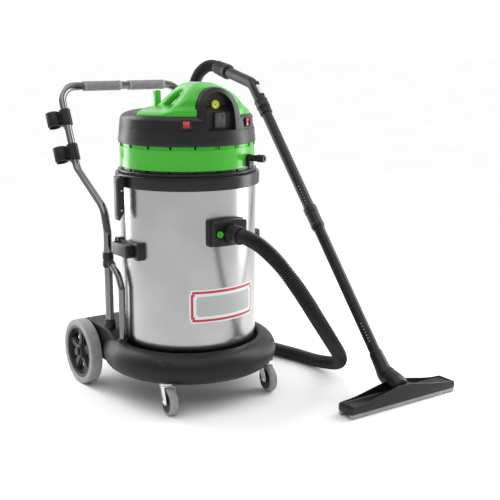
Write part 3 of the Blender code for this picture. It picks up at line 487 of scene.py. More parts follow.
GREEN = plastic("bright_green", (0.050, 0.440, 0.022), 0.25, grain=1500.0, depth=0.00002, spread=0.04,
                coat=0.15, wear=0.04)
HUB_GREY = plastic("hub_grey", (0.022, 0.022, 0.023), 0.42)
SLIDE_GREY = plastic("slide_grey", (0.62, 0.62, 0.61), 0.38, wear=0.05)
FLAP_GREY = plastic("flap_grey", (0.055, 0.055, 0.056), 0.50)
TYRE_GREY = rubber("tyre_grey", (0.285, 0.285, 0.287), 0.62)
GRIP_GREY = rubber("grip_grey", (0.290, 0.290, 0.288), 0.66)
STRIP_GREY = rubber("strip_grey", (0.330, 0.330, 0.325), 0.75)
GASKET_BLACK = rubber("gasket_black", (0.020, 0.020, 0.020), 0.85)
RED = lens("switch_red", (0.50, 0.018, 0.020))
YELLOW = lens("gauge_yellow", (0.68, 0.76, 0.04))
PRESS_GREEN = plastic("button_green", (0.050, 0.420, 0.030), 0.24, coat=0.4, wear=0.05)
LABEL_WHITE = paper("label_white", (0.80, 0.81, 0.80))
LABEL_RED = paper("label_red", (0.52, 0.030, 0.055))
LABEL_GREY = paper("label_grey", (0.46, 0.48, 0.47))
FILTER_PAPER = paper("filter_paper", (0.72, 0.69, 0.61))
FLOAT_RED = plastic("float_red", (0.62, 0.10, 0.03), 0.35, wear=0.05)


def shown(obj, material, body, slot, *nodes):
    """Gives a piece its material and its body, and hides the CAD nodes it stands for. The slot argument is
    not used.
    """
    obj.data.materials.clear()
    obj.data.materials.append(material)
    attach(obj, body)
    if nodes:
        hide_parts(*nodes)
    return obj


# ---- camera ----

def camera():
    data = bpy.data.cameras.new("camera")
    data.lens = 68.36
    data.sensor_width = 36.0
    data.clip_end = 400
    obj = bpy.data.objects.new("camera", data)
    forward = Vector((0.5581, 0.8035, -0.2070)).normalized()
    right = Vector((0.8213, -0.5705, 0.0)).normalized()
    up = right.cross(forward)
    turn = Matrix((right, up, -forward)).transposed().to_4x4()
    obj.matrix_world = Matrix.Translation((-1.61965, -2.39905, 1.02)) @ turn
    bpy.context.scene.collection.objects.link(obj)
    bpy.context.scene.camera = obj


camera()


# ---- hose ----

def hose():
    """The corrugated hose, with a ring every few millimetres."""
    length = 2.64
    rings = int(length / HOSE_RIB) * 4
    path = smooth_route(HOSE_ROUTE, rings)
    crest = (HOSE_RADIUS - 0.0044, HOSE_RADIUS - 0.0008, HOSE_RADIUS, HOSE_RADIUS - 0.0008)
    radii = [crest[i % 4] for i in range(rings)]
    obj = swept("hose_skin", path, radii, sides=22, smooth=50)
    shown(obj, HOSE_BLACK, "chassis", "hose_black", "hose")


hose()


# ---- trolley ----

def remeshed(obj, voxel, rounds, keep):
    """obj as one skin with soft inner corners, like a moulding."""
    modified(obj, "REMESH", mode="VOXEL", voxel_size=voxel, use_smooth_shade=True)
    modified(obj, "SMOOTH", factor=0.5, iterations=rounds)
    modified(obj, "DECIMATE", decimate_type="COLLAPSE", ratio=keep)
    return obj


def ring_profile(points, count):
    """A smooth profile through a few (radius, z) points."""
    return [(p.x, p.z) for p in smooth_route([(r, 0, z) for r, z in points], count)]


def base():
    over = ring_profile([
        (0.190, 0.1490), (0.2035, 0.1600), (0.2090, 0.1700), (0.2180, 0.1730), (0.2400, 0.1672),
        (0.2560, 0.1510), (0.2630, 0.1280), (0.2570, 0.1020), (0.2400, 0.0870), (0.2220, 0.0850),
    ], 40)
    under = ring_profile([
        (0.2180, 0.0910), (0.2400, 0.0990), (0.2540, 0.1280), (0.2450, 0.1490), (0.2180, 0.1635),
        (0.1950, 0.1430),
    ], 20)
    shell = lathe("base_moulding", [(0, 0.149)] + over + under + [(0, 0.143)], 144)
    side = eased([
        (0.005, 0.092, 0.004), (0.005, 0.164, 0.010), (0.040, 0.171, 0.04), (0.070, 0.190, 0.03),
        (0.088, 0.197, 0.02), (0.245, 0.197, 0.02), (0.282, 0.186, 0.02), (0.298, 0.160, 0.03),
        (0.298, 0.112, 0.02), (0.285, 0.092, 0.006),
    ], closed=True, steps=6)
    deck = slab("deck", side, -0.232, 0.232, SIDEWAYS, bevel=0.006, segments=3)
    combined(shell, deck, "UNION", solver="MANIFOLD")
    for _, s in SIDES:
        stand = Matrix.Translation((s * CASTER_STEM[0], CASTER_STEM[1], 0))
        boss = lathe("boss", [(0, 0.0918), (0.022, 0.0918), (0.024, 0.094), (0.026, 0.158), (0, 0.158)],
                     40, stand)
        combined(shell, boss, "UNION", solver="MANIFOLD")
        place = Matrix.Translation((s * UPRIGHT_X, BRACE_Y, 0))
        socket = [(0, 0.120), (0.0160, 0.120), (0.0150, 0.1825), (0.0140, 0.1840), (0, 0.184)]
        combined(shell, lathe("socket", socket, 40, place), "UNION", solver="MANIFOLD")
    remeshed(shell, 0.0030, 4, 0.55)
    inside = block("hollow", (-0.222, 0.017, 0.05), (0.222, 0.275, 0.178), 0.010)
    keep = lathe("keep", [(0, 0.14), (0.2105, 0.14), (0.2105, 0.26), (0, 0.26)], 96)
    combined(inside, keep)
    combined(shell, inside, solver="MANIFOLD")
    well = ring_profile([(0.1905, 0.1488), (0.2020, 0.1560), (0.2052, 0.1640), (0.2062, 0.1740)], 12)
    pit = lathe("well", [(0, 0.1488)] + well + [(0.2062, 0.3), (0, 0.3)], 144)
    combined(shell, pit, solver="MANIFOLD")
    for _, s in SIDES:
        place = Matrix.Translation((s * UPRIGHT_X, BRACE_Y, 0))
        bore = lathe("bore", [(0, 0.1494), (0.0106, 0.1494), (0.0106, 0.2), (0, 0.2)], 32, place)
        combined(shell, bore, solver="MANIFOLD")
        stand = Matrix.Translation((s * CASTER_STEM[0], CASTER_STEM[1], 0))
        stem = [(0, 0.05), (0.0245, 0.05), (0.0245, 0.0918), (0.0064, 0.0918), (0.0064, 0.134), (0, 0.134)]
        combined(shell, lathe("stem_bore", stem, 32, stand), solver="MANIFOLD")
    across = Matrix.Translation((0, WHEEL_Y, WHEEL_RADIUS)) @ ALONG_X
    bore = lathe("axle_bore", [(0, -0.3), (0.0085, -0.3), (0.0085, 0.3), (0, 0.3)], 24, across)
    combined(shell, bore, solver="MANIFOLD")
    shown(shell, BASE_BLACK, "chassis", "base_black", "trolley_base")


def rear_wheel(name, s):
    body = "rear_wheel_" + name
    place = Matrix.Translation((s * 0.255, WHEEL_Y, WHEEL_RADIUS)) @ sideways(s)
    w = 0.019
    tread = eased(both_sides([
        (0.0812, w - 0.0020), (0.0840, w - 0.0012, 0.001), (0.0900, w, 0.002), (0.0980, w - 0.0008, 0.0015),
        (0.1005, w - 0.0034, 0.0015),
    ]))
    tyre = lathe("tyre_" + name, tread, 128, place, closed=True)
    shown(tyre, TYRE_GREY, body, "wheel_grey", "wheel_tyre_" + name)
    rim = eased([
        (0.0722, 0.0120), (0.0728, w - 0.003, 0.001), (0.0755, w - 0.0022, 0.001),
        (0.0800, w - 0.0022, 0.0008), (0.0808, w - 0.0040), (0.0808, -w + 0.0040),
        (0.0800, -w + 0.0022, 0.0008), (0.0728, -w + 0.0022, 0.001), (0.0712, -0.0120), (0.0700, 0.0),
        (0.0712, 0.0090),
    ])
    wheel = lathe("wheel_" + name, rim, 96, place, closed=True)
    web = lathe("web", [(0.0083, 0.0048), (0.0712, 0.0038), (0.0712, -0.0048), (0.0083, -0.0048)], 96,
                place, closed=True)
    for i in range(5):
        window = eased([(0.0290, -0.0050, 0.003), (0.0660, -0.0270, 0.008), (0.0690, 0.0, 0.02),
                        (0.0660, 0.0270, 0.008), (0.0290, 0.0050, 0.003)], closed=True)
        combined(web, slab("window", window, -0.02, 0.02, place @ about_z(TURN * (i + 0.5) / 5)))
    bevelled(web, 0.0010, 2)
    spokes = []
    for i in range(5):
        spoke = eased([(0.016, -0.0070, 0.002), (0.072, -0.0120, 0.002), (0.072, 0.0120, 0.002),
                       (0.016, 0.0070, 0.002)], closed=True)
        turn = place @ about_z(TURN * i / 5)
        spokes.append(slab("spoke", spoke, 0.0030, 0.0088, turn, bevel=0.0022, segments=3))
    cap = eased([
        (0.0083, 0.0090), (0.0083, 0.0175), (0.0180, 0.0175, 0.002), (0.0215, 0.0150, 0.002),
        (0.0230, 0.0040), (0.0230, -0.0040), (0.0215, -0.0175, 0.002), (0.0083, -0.0175),
    ])
    hub = lathe("hub", cap, 64, place, closed=True)
    joined(wheel, web, hub, *spokes)
    shown(wheel, HUB_GREY, body, "base_black", "wheel_hub_" + name)


def caster(name, s):
    stand = Matrix.Translation((s * CASTER_STEM[0], CASTER_STEM[1], 0)) @ about_z(-CASTER_HEADING)
    leg = 0.0155
    side = eased([
        (0.0160, 0.0846, 0.002), (-0.0150, 0.0846, 0.004), (-0.0330, 0.0460, 0.02),
        (-0.0330, 0.0360, 0.006), (-0.0240, 0.0300, 0.008), (-0.0100, 0.0340, 0.008),
        (-0.0040, 0.0500, 0.015), (0.0160, 0.0790, 0.006),
    ], closed=True)
    fork = slab("fork_" + name, side, -leg - 0.0022, leg + 0.0022, stand @ SIDEWAYS, bevel=0.0014)
    combined(fork, block("slot", (-leg, -0.08, 0), (leg, 0.03, 0.0820), place=stand))
    combined(fork, lathe("hole", [(0, 0.07), (0.0043, 0.07), (0.0043, 0.1), (0, 0.1)], 20, stand))
    axle = stand @ Matrix.Translation((0, -0.020, 0.040)) @ ALONG_X
    nut = eased([(0.0, leg + 0.0064), (0.0026, leg + 0.0062, 0.001), (0.0058, leg + 0.0050, 0.001),
                 (0.0062, leg + 0.0020)])
    nuts = [lathe("nut", nut, 6, axle @ about_z(0.3)),
            lathe("nut", nut, 6, axle @ Matrix.Rotation(math.pi, 4, "X"))]
    joined(fork, *nuts)
    shown(fork, ZINC, "caster_" + name, "zinc", "caster_fork_" + name)
    race = eased([(0.0062, 0.0913), (0.0172, 0.0913, 0.002), (0.0182, 0.0885, 0.001),
                  (0.0172, 0.0862, 0.002), (0.0062, 0.0862)])
    shown(lathe("race_" + name, race, 48, stand), ZINC, "chassis", "zinc")
    r, w = 0.040, 0.0125
    tread = eased(both_sides([
        (0.0320, w - 0.0004), (0.0345, w, 0.001), (r - 0.003, w - 0.0012, 0.002), (r, w - 0.005, 0.003),
    ]))
    tyre = lathe("caster_tyre_" + name, tread, 80, axle, closed=True)
    shown(tyre, TYRE_GREY, "caster_roller_" + name, "wheel_grey", "caster_wheel_" + name)
    disc = eased(both_sides([
        (0.0047, w + 0.0012), (0.0085, w + 0.0012, 0.001), (0.0105, w - 0.0030, 0.002),
        (0.0295, w - 0.0024, 0.002), (0.0319, w - 0.0006, 0.0005),
    ]))
    core = lathe("caster_disc_" + name, disc, 64, axle, closed=True)
    shown(core, TRIM_BLACK, "caster_roller_" + name, "trim_black")


base()
for NAME, SIGN in SIDES:
    rear_wheel(NAME, SIGN)
    caster(NAME, SIGN)


# ---- tank ----

def tank():
    r, low = TANK_RADIUS, TANK_BOTTOM
    outer = eased([
        (0, low), (r - 0.040, low, 0.002), (r - 0.006, low + 0.006, 0.016), (r, low + 0.040, 0.02),
        (r, low + 0.060), (r, TANK_TOP - 0.004, 0.002), (r, TANK_TOP),
    ])
    inner = [(max(0.0, p[0] - 0.0018), max(p[1], low + 0.0018)) for p in outer[:-1]]
    shell = lathe("tank_wall", list(outer) + [(r - 0.0018, TANK_TOP)] + inner[::-1], 192)
    forward = Matrix.Translation((0, 0, INLET_Z)) @ FORWARD
    combined(shell, lathe("inlet_hole", [(0, 0.15), (0.0225, 0.15), (0.0225, 0.25), (0, 0.25)], 40,
                          forward))
    shown(shell, STEEL, "chassis", "steel_tank", "tank_shell")
    seam = block("tank_seam", (-0.0022, r - 0.0004, low + 0.045), (0.0022, r + 0.0003, 0.634), 0.0003)
    shown(seam, STEEL, "chassis", "steel_tank")


def curved_patch(name, start, end, low, high, radius, thick, corner=0.0):
    """A thin sheet that lies on the tank between two angles from the front."""
    bm = bmesh.new()
    columns, rows = 56, 10
    grid = []
    for j in range(rows + 1):
        line = []
        for i in range(columns + 1):
            u, v = i / columns, j / rows
            a = start + (end - start) * u
            line.append(bm.verts.new((radius * math.sin(a), -radius * math.cos(a), low + (high - low) * v)))
        grid.append(line)
    for below, above in zip(grid, grid[1:]):
        for i in range(columns):
            bm.faces.new((below[i], below[i + 1], above[i + 1], above[i]))
    if corner:
        square = [grid[0][0], grid[0][-1], grid[-1][0], grid[-1][-1]]
        bmesh.ops.delete(bm, geom=square, context="VERTS")
    obj = obj_from(name, bm)
    return modified(obj, "SOLIDIFY", thickness=thick, offset=1.0)


def label():
    """A plain label with a coloured border, with nothing written on it."""
    layers = (("label_sheet", 0.0, LABEL_WHITE), ("label_border", 0.0045, LABEL_RED),
              ("label_field", 0.0115, LABEL_WHITE),
              ("label_panel", 0.0200, LABEL_GREY))
    start, end, low, high = math.radians(-31), math.radians(35), 0.255, 0.353
    for i, (name, inset, material) in enumerate(layers):
        turn = inset / TANK_RADIUS
        radius = TANK_RADIUS + 0.0003 + 0.0003 * i
        sheet = curved_patch(name, start + turn, end - turn, low + inset, high - inset, radius, 0.0003, 1.0)
        shown(sheet, material, "chassis", "steel_tank")


def band():
    profile = eased([
        (0.2003, 0.6375), (0.2110, 0.6352, 0.001), (0.2125, 0.6368, 0.001), (0.2125, 0.6665, 0.002),
        (0.2112, 0.6705, 0.001), (0.2085, 0.6715, 0.0005), (0.2003, 0.6715),
    ])
    shown(lathe("rim_band", profile, 160, closed=True), BAND_BLACK, "chassis", "band_black",
          "tank_rim_band")


def tank_handle(name, s):
    low, high = 0.4370, 0.4750
    x = sorted((s * 0.190, s * 0.233))
    grip = block("pull_handle_" + name, (x[0], -0.045, low), (x[1], 0.045, high), 0.0050, 3)
    for y in (-0.058, 0.058):
        a, b = sorted((s * 0.178, s * 0.2095))
        end = eased([(-0.014, low - 0.005, 0.006), (0.014, low - 0.005, 0.006),
                     (0.014, high + 0.006, 0.009), (-0.014, high + 0.006, 0.009)], closed=True)
        side = Matrix.Translation((0, y, 0)) @ SIDEWAYS
        plate = slab("plate", end, a, b, side, bevel=0.0015)
        combined(grip, plate, "UNION")
    a, b = sorted((s * 0.176, s * 0.2055))
    combined(grip, block("back", (a, -0.060, low - 0.002), (b, 0.060, high + 0.002), 0.001), "UNION")
    x = sorted((s * 0.150, s * 0.2265))
    combined(grip, block("fingers", (x[0], -0.0385, 0.40), (x[1], 0.0385, high - 0.0075), 0.004))
    x = sorted((s * 0.2120, s * 0.2280))
    combined(grip, block("tray", (x[0], -0.0400, high - 0.0050), (x[1], 0.0400, high + 0.02), 0.0020))
    for y in (-0.0455, 0.0455):
        x = sorted((s * 0.2130, s * 0.2250))
        combined(grip, block("dent", (x[0], y - 0.0022, low + 0.009), (x[1], y + 0.0022, high - 0.011),
                             0.0015))
    combined(grip, lathe("seat", [(0, 0.4), (0.2003, 0.4), (0.2003, 0.5), (0, 0.5)], 128))
    soften(grip, 32)
    shown(grip, TRIM_BLACK, "chassis", "trim_black", "tank_handle_" + name)


def inlet():
    forward = Matrix.Translation((0, 0, INLET_Z)) @ FORWARD

    def outline(half, low, high, crown):
        top = [(half * (1 - 2 * i / 12),
                high - crown + crown * math.sin(math.pi * i / 12)) for i in range(13)]
        points = [(-half, low, 0.009), (half, low, 0.009), (half, top[0][1], 0.011)]
        points += [(u, v) for u, v in top[1:-1]] + [(-half, top[-1][1], 0.011)]
        return eased(points, closed=True, steps=6)

    back = slab("inlet_back", outline(0.058, 0.4775, 0.5575, 0.005), 0.172, 0.2105, FORWARD, bevel=0.0025)
    combined(back, lathe("seat", [(0, 0.4), (0.2003, 0.4), (0.2003, 0.6), (0, 0.6)], 160))
    front = slab("inlet_front", outline(0.0550, 0.4805, 0.5550, 0.005), 0.2085, 0.2320, FORWARD,
                 bevel=0.0050, segments=5)
    button_place = Matrix.Translation((-0.037, 0, INLET_Z)) @ FORWARD
    dimple = eased([(0, 0.213), (0.0095, 0.213), (0.0095, 0.2300, 0.001), (0.0135, 0.2330), (0.0135, 0.25),
                    (0, 0.25)])
    for piece in (back, front):
        cutter = lathe("bore", [(0, 0.16), (0.0225, 0.16), (0.0225, 0.25), (0, 0.25)], 48, forward)
        combined(piece, cutter)
        combined(piece, lathe("dimple", dimple, 40, button_place))
    seat = [(0.0178, 0.1855), (0.0210, 0.1855), (0.0228, 0.2000), (0.0228, 0.2125), (0.0178, 0.2125)]
    spigot = lathe("inlet_spigot", seat, 48, forward, closed=True)
    joined(back, front, spigot)
    shown(back, TRIM_BLACK, "chassis", "trim_black", "inlet_box")
    press = eased([(0, 0.2222), (0.0088, 0.2222), (0.0090, 0.2366, 0.001), (0.0080, 0.2374, 0.001),
                   (0.0060, 0.2366, 0.003), (0, 0.2352)])
    button = lathe("inlet_button", press, 48, button_place)
    shown(button, PRESS_GREEN, "inlet_button", "head_green", "inlet_release_button")
    cuff = eased([
        (0.0160, 0.2130), (0.0218, 0.2130), (0.0218, 0.2326), (0.0268, 0.2326, 0.0015),
        (0.0268, 0.2520, 0.002), (0.0252, 0.2560, 0.001), (0.0258, 0.2590, 0.001), (0.0258, 0.2800, 0.002),
        (0.0240, 0.2842, 0.001), (0.0160, 0.2842),
    ])
    ring = lathe("inlet_cuff", cuff, 96, forward, closed=True)
    lugs = []
    for i in range(12):
        lug = [(0.2326, 0.0255), (0.2326, 0.0282), (0.2470, 0.0274), (0.2500, 0.0255)]
        turn = forward @ about_z(TURN * i / 12) @ Matrix.Rotation(math.pi / 2, 4, "X")
        lugs.append(slab("lug", [(b, a) for a, b in lug], -0.0017, 0.0017, turn, bevel=0.0006))
    joined(ring, *lugs)
    shown(ring, TRIM_BLACK, "chassis", "trim_black", "hose_cuff_inlet")


def latch(name, s):
    body = "latch_" + name
    outline = [
        (0.2168, 0.6560, 0.003), (0.2200, 0.6675, 0.003), (0.2265, 0.6697, 0.004), (0.2340, 0.6680, 0.004),
        (0.2370, 0.6600, 0.006), (0.2370, 0.6000), (0.2364, 0.5480, 0.003), (0.2335, 0.5415, 0.003),
        (0.2168, 0.5660, 0.003),
    ]
    path = [(s * p[0], p[1]) for p in eased(outline, closed=True)]
    lever = slab("lever_" + name, path, -0.0125, 0.0125, FORWARD, bevel=0.0016)
    face = [(s * u, v) for u, v in eased([(0.2320, 0.6560, 0.002), (0.2375, 0.6560, 0.001),
                                          (0.2375, 0.5560, 0.001),
                                         (0.2320, 0.5560, 0.002)], closed=True)]
    plate = slab("plate", face, -0.0088, 0.0088, FORWARD, bevel=0.0010)
    joined(lever, plate)
    shown(lever, SHELL_BLACK, body, "trim_black", "latch_lever_" + name)
    screws = []
    for y in (-1, 1):
        for x, z in ((0.2265, 0.6610), (0.2250, 0.6280), (0.2260, 0.5720)):
            head = [(0, 0.0129), (0.0012, 0.0131), (0.0024, 0.0127), (0.0026, 0.0120)]
            place = Matrix.Translation((s * x, 0, z)) @ Matrix.Rotation(-y * math.pi / 2, 4, "X")
            screws.append(lathe("screw", head, 16, place))
    joined(screws[0], *screws[1:])
    screws[0].name = "lever_screws_" + name
    shown(screws[0], ZINC, body, "zinc")
    a, b = sorted((s * 0.2128, s * 0.2345))
    bracket = block("bracket_" + name, (a, -0.0180, 0.6370), (b, 0.0180, 0.6680), 0.0025, 3)
    a, b = sorted((s * 0.2160, s * 0.25))
    combined(bracket, block("gap", (a, -0.0132, 0.60), (b, 0.0132, 0.70)))
    shown(bracket, TRIM_BLACK, "chassis", "trim_black", "latch_bracket_" + name)


tank()
label()
band()
inlet()
for NAME, SIGN in SIDES:
    tank_handle(NAME, SIGN)
    latch(NAME, SIGN)


# ---- push handle ----

def push_handle():
    side = [(UPRIGHT_Y, 0.1985), (UPRIGHT_Y, 0.491), (0.122, 0.556), (0.300, 0.657), (0.410, 0.905)]
    left = [(-UPRIGHT_X, y, z) for y, z in side]
    right = [(UPRIGHT_X, y, z) for y, z in reversed(side)]
    bar = swept("push_bar", bent(left + right, 0.055, 14), 0.0127, 36)
    shown(bar, CHROME, "chassis", "handle_chrome", "push_handle_bar")
    for name, s in SIDES:
        inner, outer = 0.014, 0.146
        profile = [(0.0130, 0), (0.0153, 0.0), (0.0158, 0.0008), (0.0158, 0.0085), (0.0150, 0.0095)]
        ribs = 44
        step = (outer - inner - 0.019) / ribs
        for i in range(ribs):
            z = 0.0095 + step * i
            profile += [(0.0147, z), (0.0147, z + step * 0.35), (0.0155, z + step * 0.5),
                        (0.0155, z + step * 0.85)]
        end = outer - inner
        profile += [(0.0150, end - 0.0095), (0.0158, end - 0.0085), (0.0158, end - 0.0008), (0.0153, end),
                    (0.0130, end)]
        place = Matrix.Translation((GRIP_MIDDLE + s * inner, 0.410, 0.905)) @ sideways(s)
        grip = lathe("bar_grip_" + name, profile, 48, place, closed=True)
        shown(grip, GRIP_GREY, "chassis", "grip_grey", "handle_grip_" + name)


def frame_leg(name, s):
    place = Matrix.Translation((s * UPRIGHT_X, UPRIGHT_Y, 0))
    collar = eased([
        (0.0130, 0.1973), (0.0172, 0.1973, 0.001), (0.0172, 0.2140, 0.001), (0.0158, 0.2155, 0.001),
        (0.0158, 0.2235, 0.001), (0.0145, 0.2250, 0.001), (0.0130, 0.2250),
    ])
    shown(lathe("foot_ring_" + name, collar, 64, place, closed=True), TRIM_BLACK, "chassis", "trim_black",
          "foot_collar_" + name)
    clamp = eased([
        (0.0130, 0.385), (0.0152, 0.385, 0.001), (0.0165, 0.388, 0.002), (0.0165, 0.427, 0.002),
        (0.0152, 0.430, 0.001), (0.0130, 0.430),
    ])
    ring = lathe("clamp_" + name, clamp, 64, place, closed=True)
    x = s * UPRIGHT_X
    corners = [(x, 0.0755, 0.393), (x, 0.040, 0.372), (x, BRACE_Y, 0.335), (x, BRACE_Y, 0.1505)]
    lug = eased([(0, -0.022), (0.0115, -0.022), (0.0118, -0.0006, 0.002), (0.0100, 0.0006), (0, 0.0006)])
    lug_obj = lathe("lug", lug, 40, aligned(corners[0], corners[1]))
    combined(lug_obj, lathe("lug_bore", [(0, 0.3), (0.0140, 0.3), (0.0140, 0.5), (0, 0.5)], 48, place))
    joined(ring, lug_obj)
    shown(ring, TRIM_BLACK, "chassis", "trim_black", "upright_clamp_" + name)
    bolt = eased([(0, 0.0215), (0.0040, 0.0210, 0.001), (0.0046, 0.0190), (0.0046, 0.0150)])
    turn = place @ Matrix.Translation((0, 0, 0.4075)) @ sideways(s)
    shown(lathe("clamp_bolt_" + name, bolt, 24, turn), ZINC, "chassis", "zinc")
    brace = swept("brace_" + name, bent(corners, 0.022, 10), 0.010, 32)
    shown(brace, CHROME, "chassis", "handle_chrome", "frame_brace_" + name)


def tool_clip(level, y, z):
    start = Vector((-UPRIGHT_X, 0.300, 0.657))
    way = (Vector((-UPRIGHT_X, 0.410, 0.905)) - start).normalized()
    centre = Vector((-UPRIGHT_X, y, z))
    centre = start + way * (centre - start).dot(way)
    place = aligned(centre, centre + way)
    half = 0.026
    sleeve = eased([
        (0.0130, -half), (0.0168, -half, 0.001), (0.0180, -half + 0.002, 0.001),
        (0.0180, half - 0.002, 0.001), (0.0168, half, 0.001), (0.0130, half),
    ])
    clip = lathe("clip_" + level, sleeve, 64, place, closed=True)
    outward = place.to_3x3().inverted() @ Vector((-0.80, 0.55, 0.0))
    spin = about_z(math.atan2(outward.y, outward.x))
    far = place @ spin @ Matrix.Translation((0.0395, 0, 0))
    high = half - 0.003
    steps, gap = 40, 0.62
    arc = [gap + (TURN - 2 * gap) * i / steps for i in range(steps + 1)]
    outline = [(0.0215 * math.cos(a), 0.0215 * math.sin(a)) for a in arc]
    outline += [(0.0178 * math.cos(a), 0.0178 * math.sin(a)) for a in reversed(arc)]
    ring = slab("c", outline, -high, high, far, bevel=0.0008, smooth=40)
    lips = []
    for side in (-1, 1):
        a = side * gap
        lip = Matrix.Translation((0.0196 * math.cos(a), 0.0196 * math.sin(a), 0))
        lips.append(lathe("lip", [(0, -high), (0.0024, -high), (0.0028, -high + 0.001),
                                  (0.0028, high - 0.001), (0.0024, high), (0, high)], 20, far @ lip))
    ribs = [block("web", (0.0150, -0.0070, -high), (0.0205, 0.0070, high), 0.001, place=place @ spin)]
    for z_rib in (-0.012, 0.012):
        ribs.append(block("rib", (0.0120, -0.0120, z_rib - 0.0015), (0.0230, 0.0120, z_rib + 0.0015),
                          0.0007, place=place @ spin))
    joined(clip, ring, *lips, *ribs)
    shown(clip, TRIM_BLACK, "chassis", "trim_black", "tool_clip_" + level)


push_handle()
for NAME, SIGN in SIDES:
    frame_leg(NAME, SIGN)
tool_clip("upper", 0.368, 0.811)
tool_clip("lower", 0.3300, 0.7040)


# ---- motor head ----

HEAD = "motor_head"
RIB_PHASE = math.radians(14)
RIB_ANGLES = [RIB_PHASE + TURN * i / RIB_COUNT for i in range(RIB_COUNT)]
SWITCH_TURN = math.radians(31.3)
SWITCH_Z = 0.8178


def arc_slab(name, start, end, inner, outer, low, high, bevel=0.0):
    """Part of a ring between two angles from the front."""
    steps = max(3, int((end - start) / math.radians(2)))
    turn = [start + (end - start) * i / steps for i in range(steps + 1)]
    outline = [(outer * math.sin(a), -outer * math.cos(a)) for a in turn]
    outline += [(inner * math.sin(a), -inner * math.cos(a)) for a in reversed(turn)]
    return slab(name, outline, low, high, bevel=bevel, smooth=25)


def flange():
    top = 0.6880
    profile = eased([
        (0.056, 0.6753), (0.2020, 0.6753, 0.001), (0.2038, 0.6766, 0.001), (0.2038, 0.6800, 0.001),
        (0.2020, 0.6815, 0.001), (0.1900, 0.6822, 0.001), (0.1896, top), (0.056, top),
    ])
    plate = lathe("flange", profile, 160, closed=True)
    teeth = []
    for a in RIB_ANGLES:
        teeth.append(arc_slab("tooth", a + 0.030, a + TURN / RIB_COUNT - 0.012, 0.1890, 0.1942, 0.6812,
                              top, 0.0005))
    joined(plate, *teeth)
    shown(plate, BAND_BLACK, HEAD, "head_black", "head_flange")
    gasket = eased([(0.1852, 0.6719), (0.2030, 0.6719, 0.0005), (0.2034, 0.6735, 0.001),
                    (0.2030, 0.6750, 0.0005), (0.1852, 0.6750)])
    shown(lathe("gasket", gasket, 128, closed=True), GASKET_BLACK, HEAD, "gasket", "head_gasket")


def cooling_ring():
    wall = eased([
        (0.1900, 0.6884), (0.1962, 0.6884, 0.0008), (0.1975, 0.6896, 0.001), (0.1975, 0.7465, 0.002),
        (0.1962, 0.7484, 0.001), (0.1900, 0.7484),
    ])
    ring = lathe("air_ring", wall, 192, closed=True)
    parts = []
    for a in RIB_ANGLES:
        parts.append(arc_slab("vane", a + 0.040, a + TURN / RIB_COUNT - 0.004, 0.1905, 0.1950, 0.7470,
                              0.7571, 0.0004))
        rib = block("rib", (-0.0018, -0.1990, 0.7470), (0.0018, -0.1910, 0.7570), 0.0008, place=about_z(a))
        parts.append(rib)
    joined(ring, *parts)
    shown(ring, GREEN, HEAD, "head_green", "cooling_ring")
    liner = lathe("ring_liner", [(0.1880, 0.6885), (0.1895, 0.6885), (0.1895, 0.7580), (0.1880, 0.7580)],
                  128, closed=True)
    shown(liner, GASKET_BLACK, HEAD, "head_black")


def arch(half_width, low, top, sides=36):
    """An outline with straight sides and an arched top."""
    rise = half_width * 1.05
    points = [(half_width, low)]
    for i in range(sides + 1):
        a = math.pi * i / sides
        points.append((half_width * math.cos(a), top - rise + rise * math.sin(a)))
    points.append((-half_width, low))
    return points


def strip_recess(angle, r, z):
    """The housing's radius, set back along the strip that holds the switches."""
    if not 0.7992 <= z <= 0.8266:
        return r
    from_front = abs(math.degrees(math.atan2(math.cos(angle), -math.sin(angle))))
    fade = min(1.0, max(0.0, (84 - from_front) / 26))
    return r - 0.0024 * fade


def front_revolve(grow=0.0):
    line = ring_profile([(0.1545, 0.9180), (0.1660, 0.9020), (0.1775, 0.8820), (0.1880, 0.8500),
                         (0.1938, 0.8200), (0.1962, 0.7800)], 24)
    return [(0, 0.96), (0.1500, 0.96)] + [(r + grow, z) for r, z in line] + [(0, 0.7800)]


def housing_outside(grow=0.0, strip=True):
    dome = ring_profile([(0.020, 0.8530), (0.107, 0.8512), (0.140, 0.8490), (0.168, 0.8445),
                         (0.183, 0.8392), (0.1915, 0.8325), (0.1945, 0.8268)], 30)
    side = [(0.1945, 0.8266), (0.19455, 0.8262), (0.1976, 0.7996), (0.19765, 0.7992), (0.1977, 0.7986),
            (0.1986, 0.7880), (0.2006, 0.7700), (0.2014, 0.7600), (0.2008, 0.7577)]
    if not strip:
        side = [(0.1945, 0.8266), (0.1983, 0.7902), (0.2014, 0.7592), (0.2010, 0.7577)]
    return [(0, 0.8530 + grow)] + [(r, z + grow) for r, z in dome] + [(r + grow, z) for r, z in side]


def opening_cutters():
    """What is cut from both the shell and the panel: the switches', the socket's and the gauge's holes."""
    made = []
    for _, s in SIDES:
        made.append(block("switch_hole", (-0.0135, -0.22, SWITCH_Z - 0.0110),
                          (0.0135, -0.15, SWITCH_Z + 0.0110), place=about_z(s * SWITCH_TURN)))
    made.append(block("socket_hole", (-0.016, -0.20, 0.8075), (0.016, -0.150, 0.8415), 0.002))
    gauge = Matrix.Translation((0, 0, GAUGE_Z)) @ FORWARD
    made.append(lathe("gauge_hole", [(0, 0.12), (0.0114, 0.12), (0.0114, 0.2), (0, 0.2)], 40, gauge))
    return made


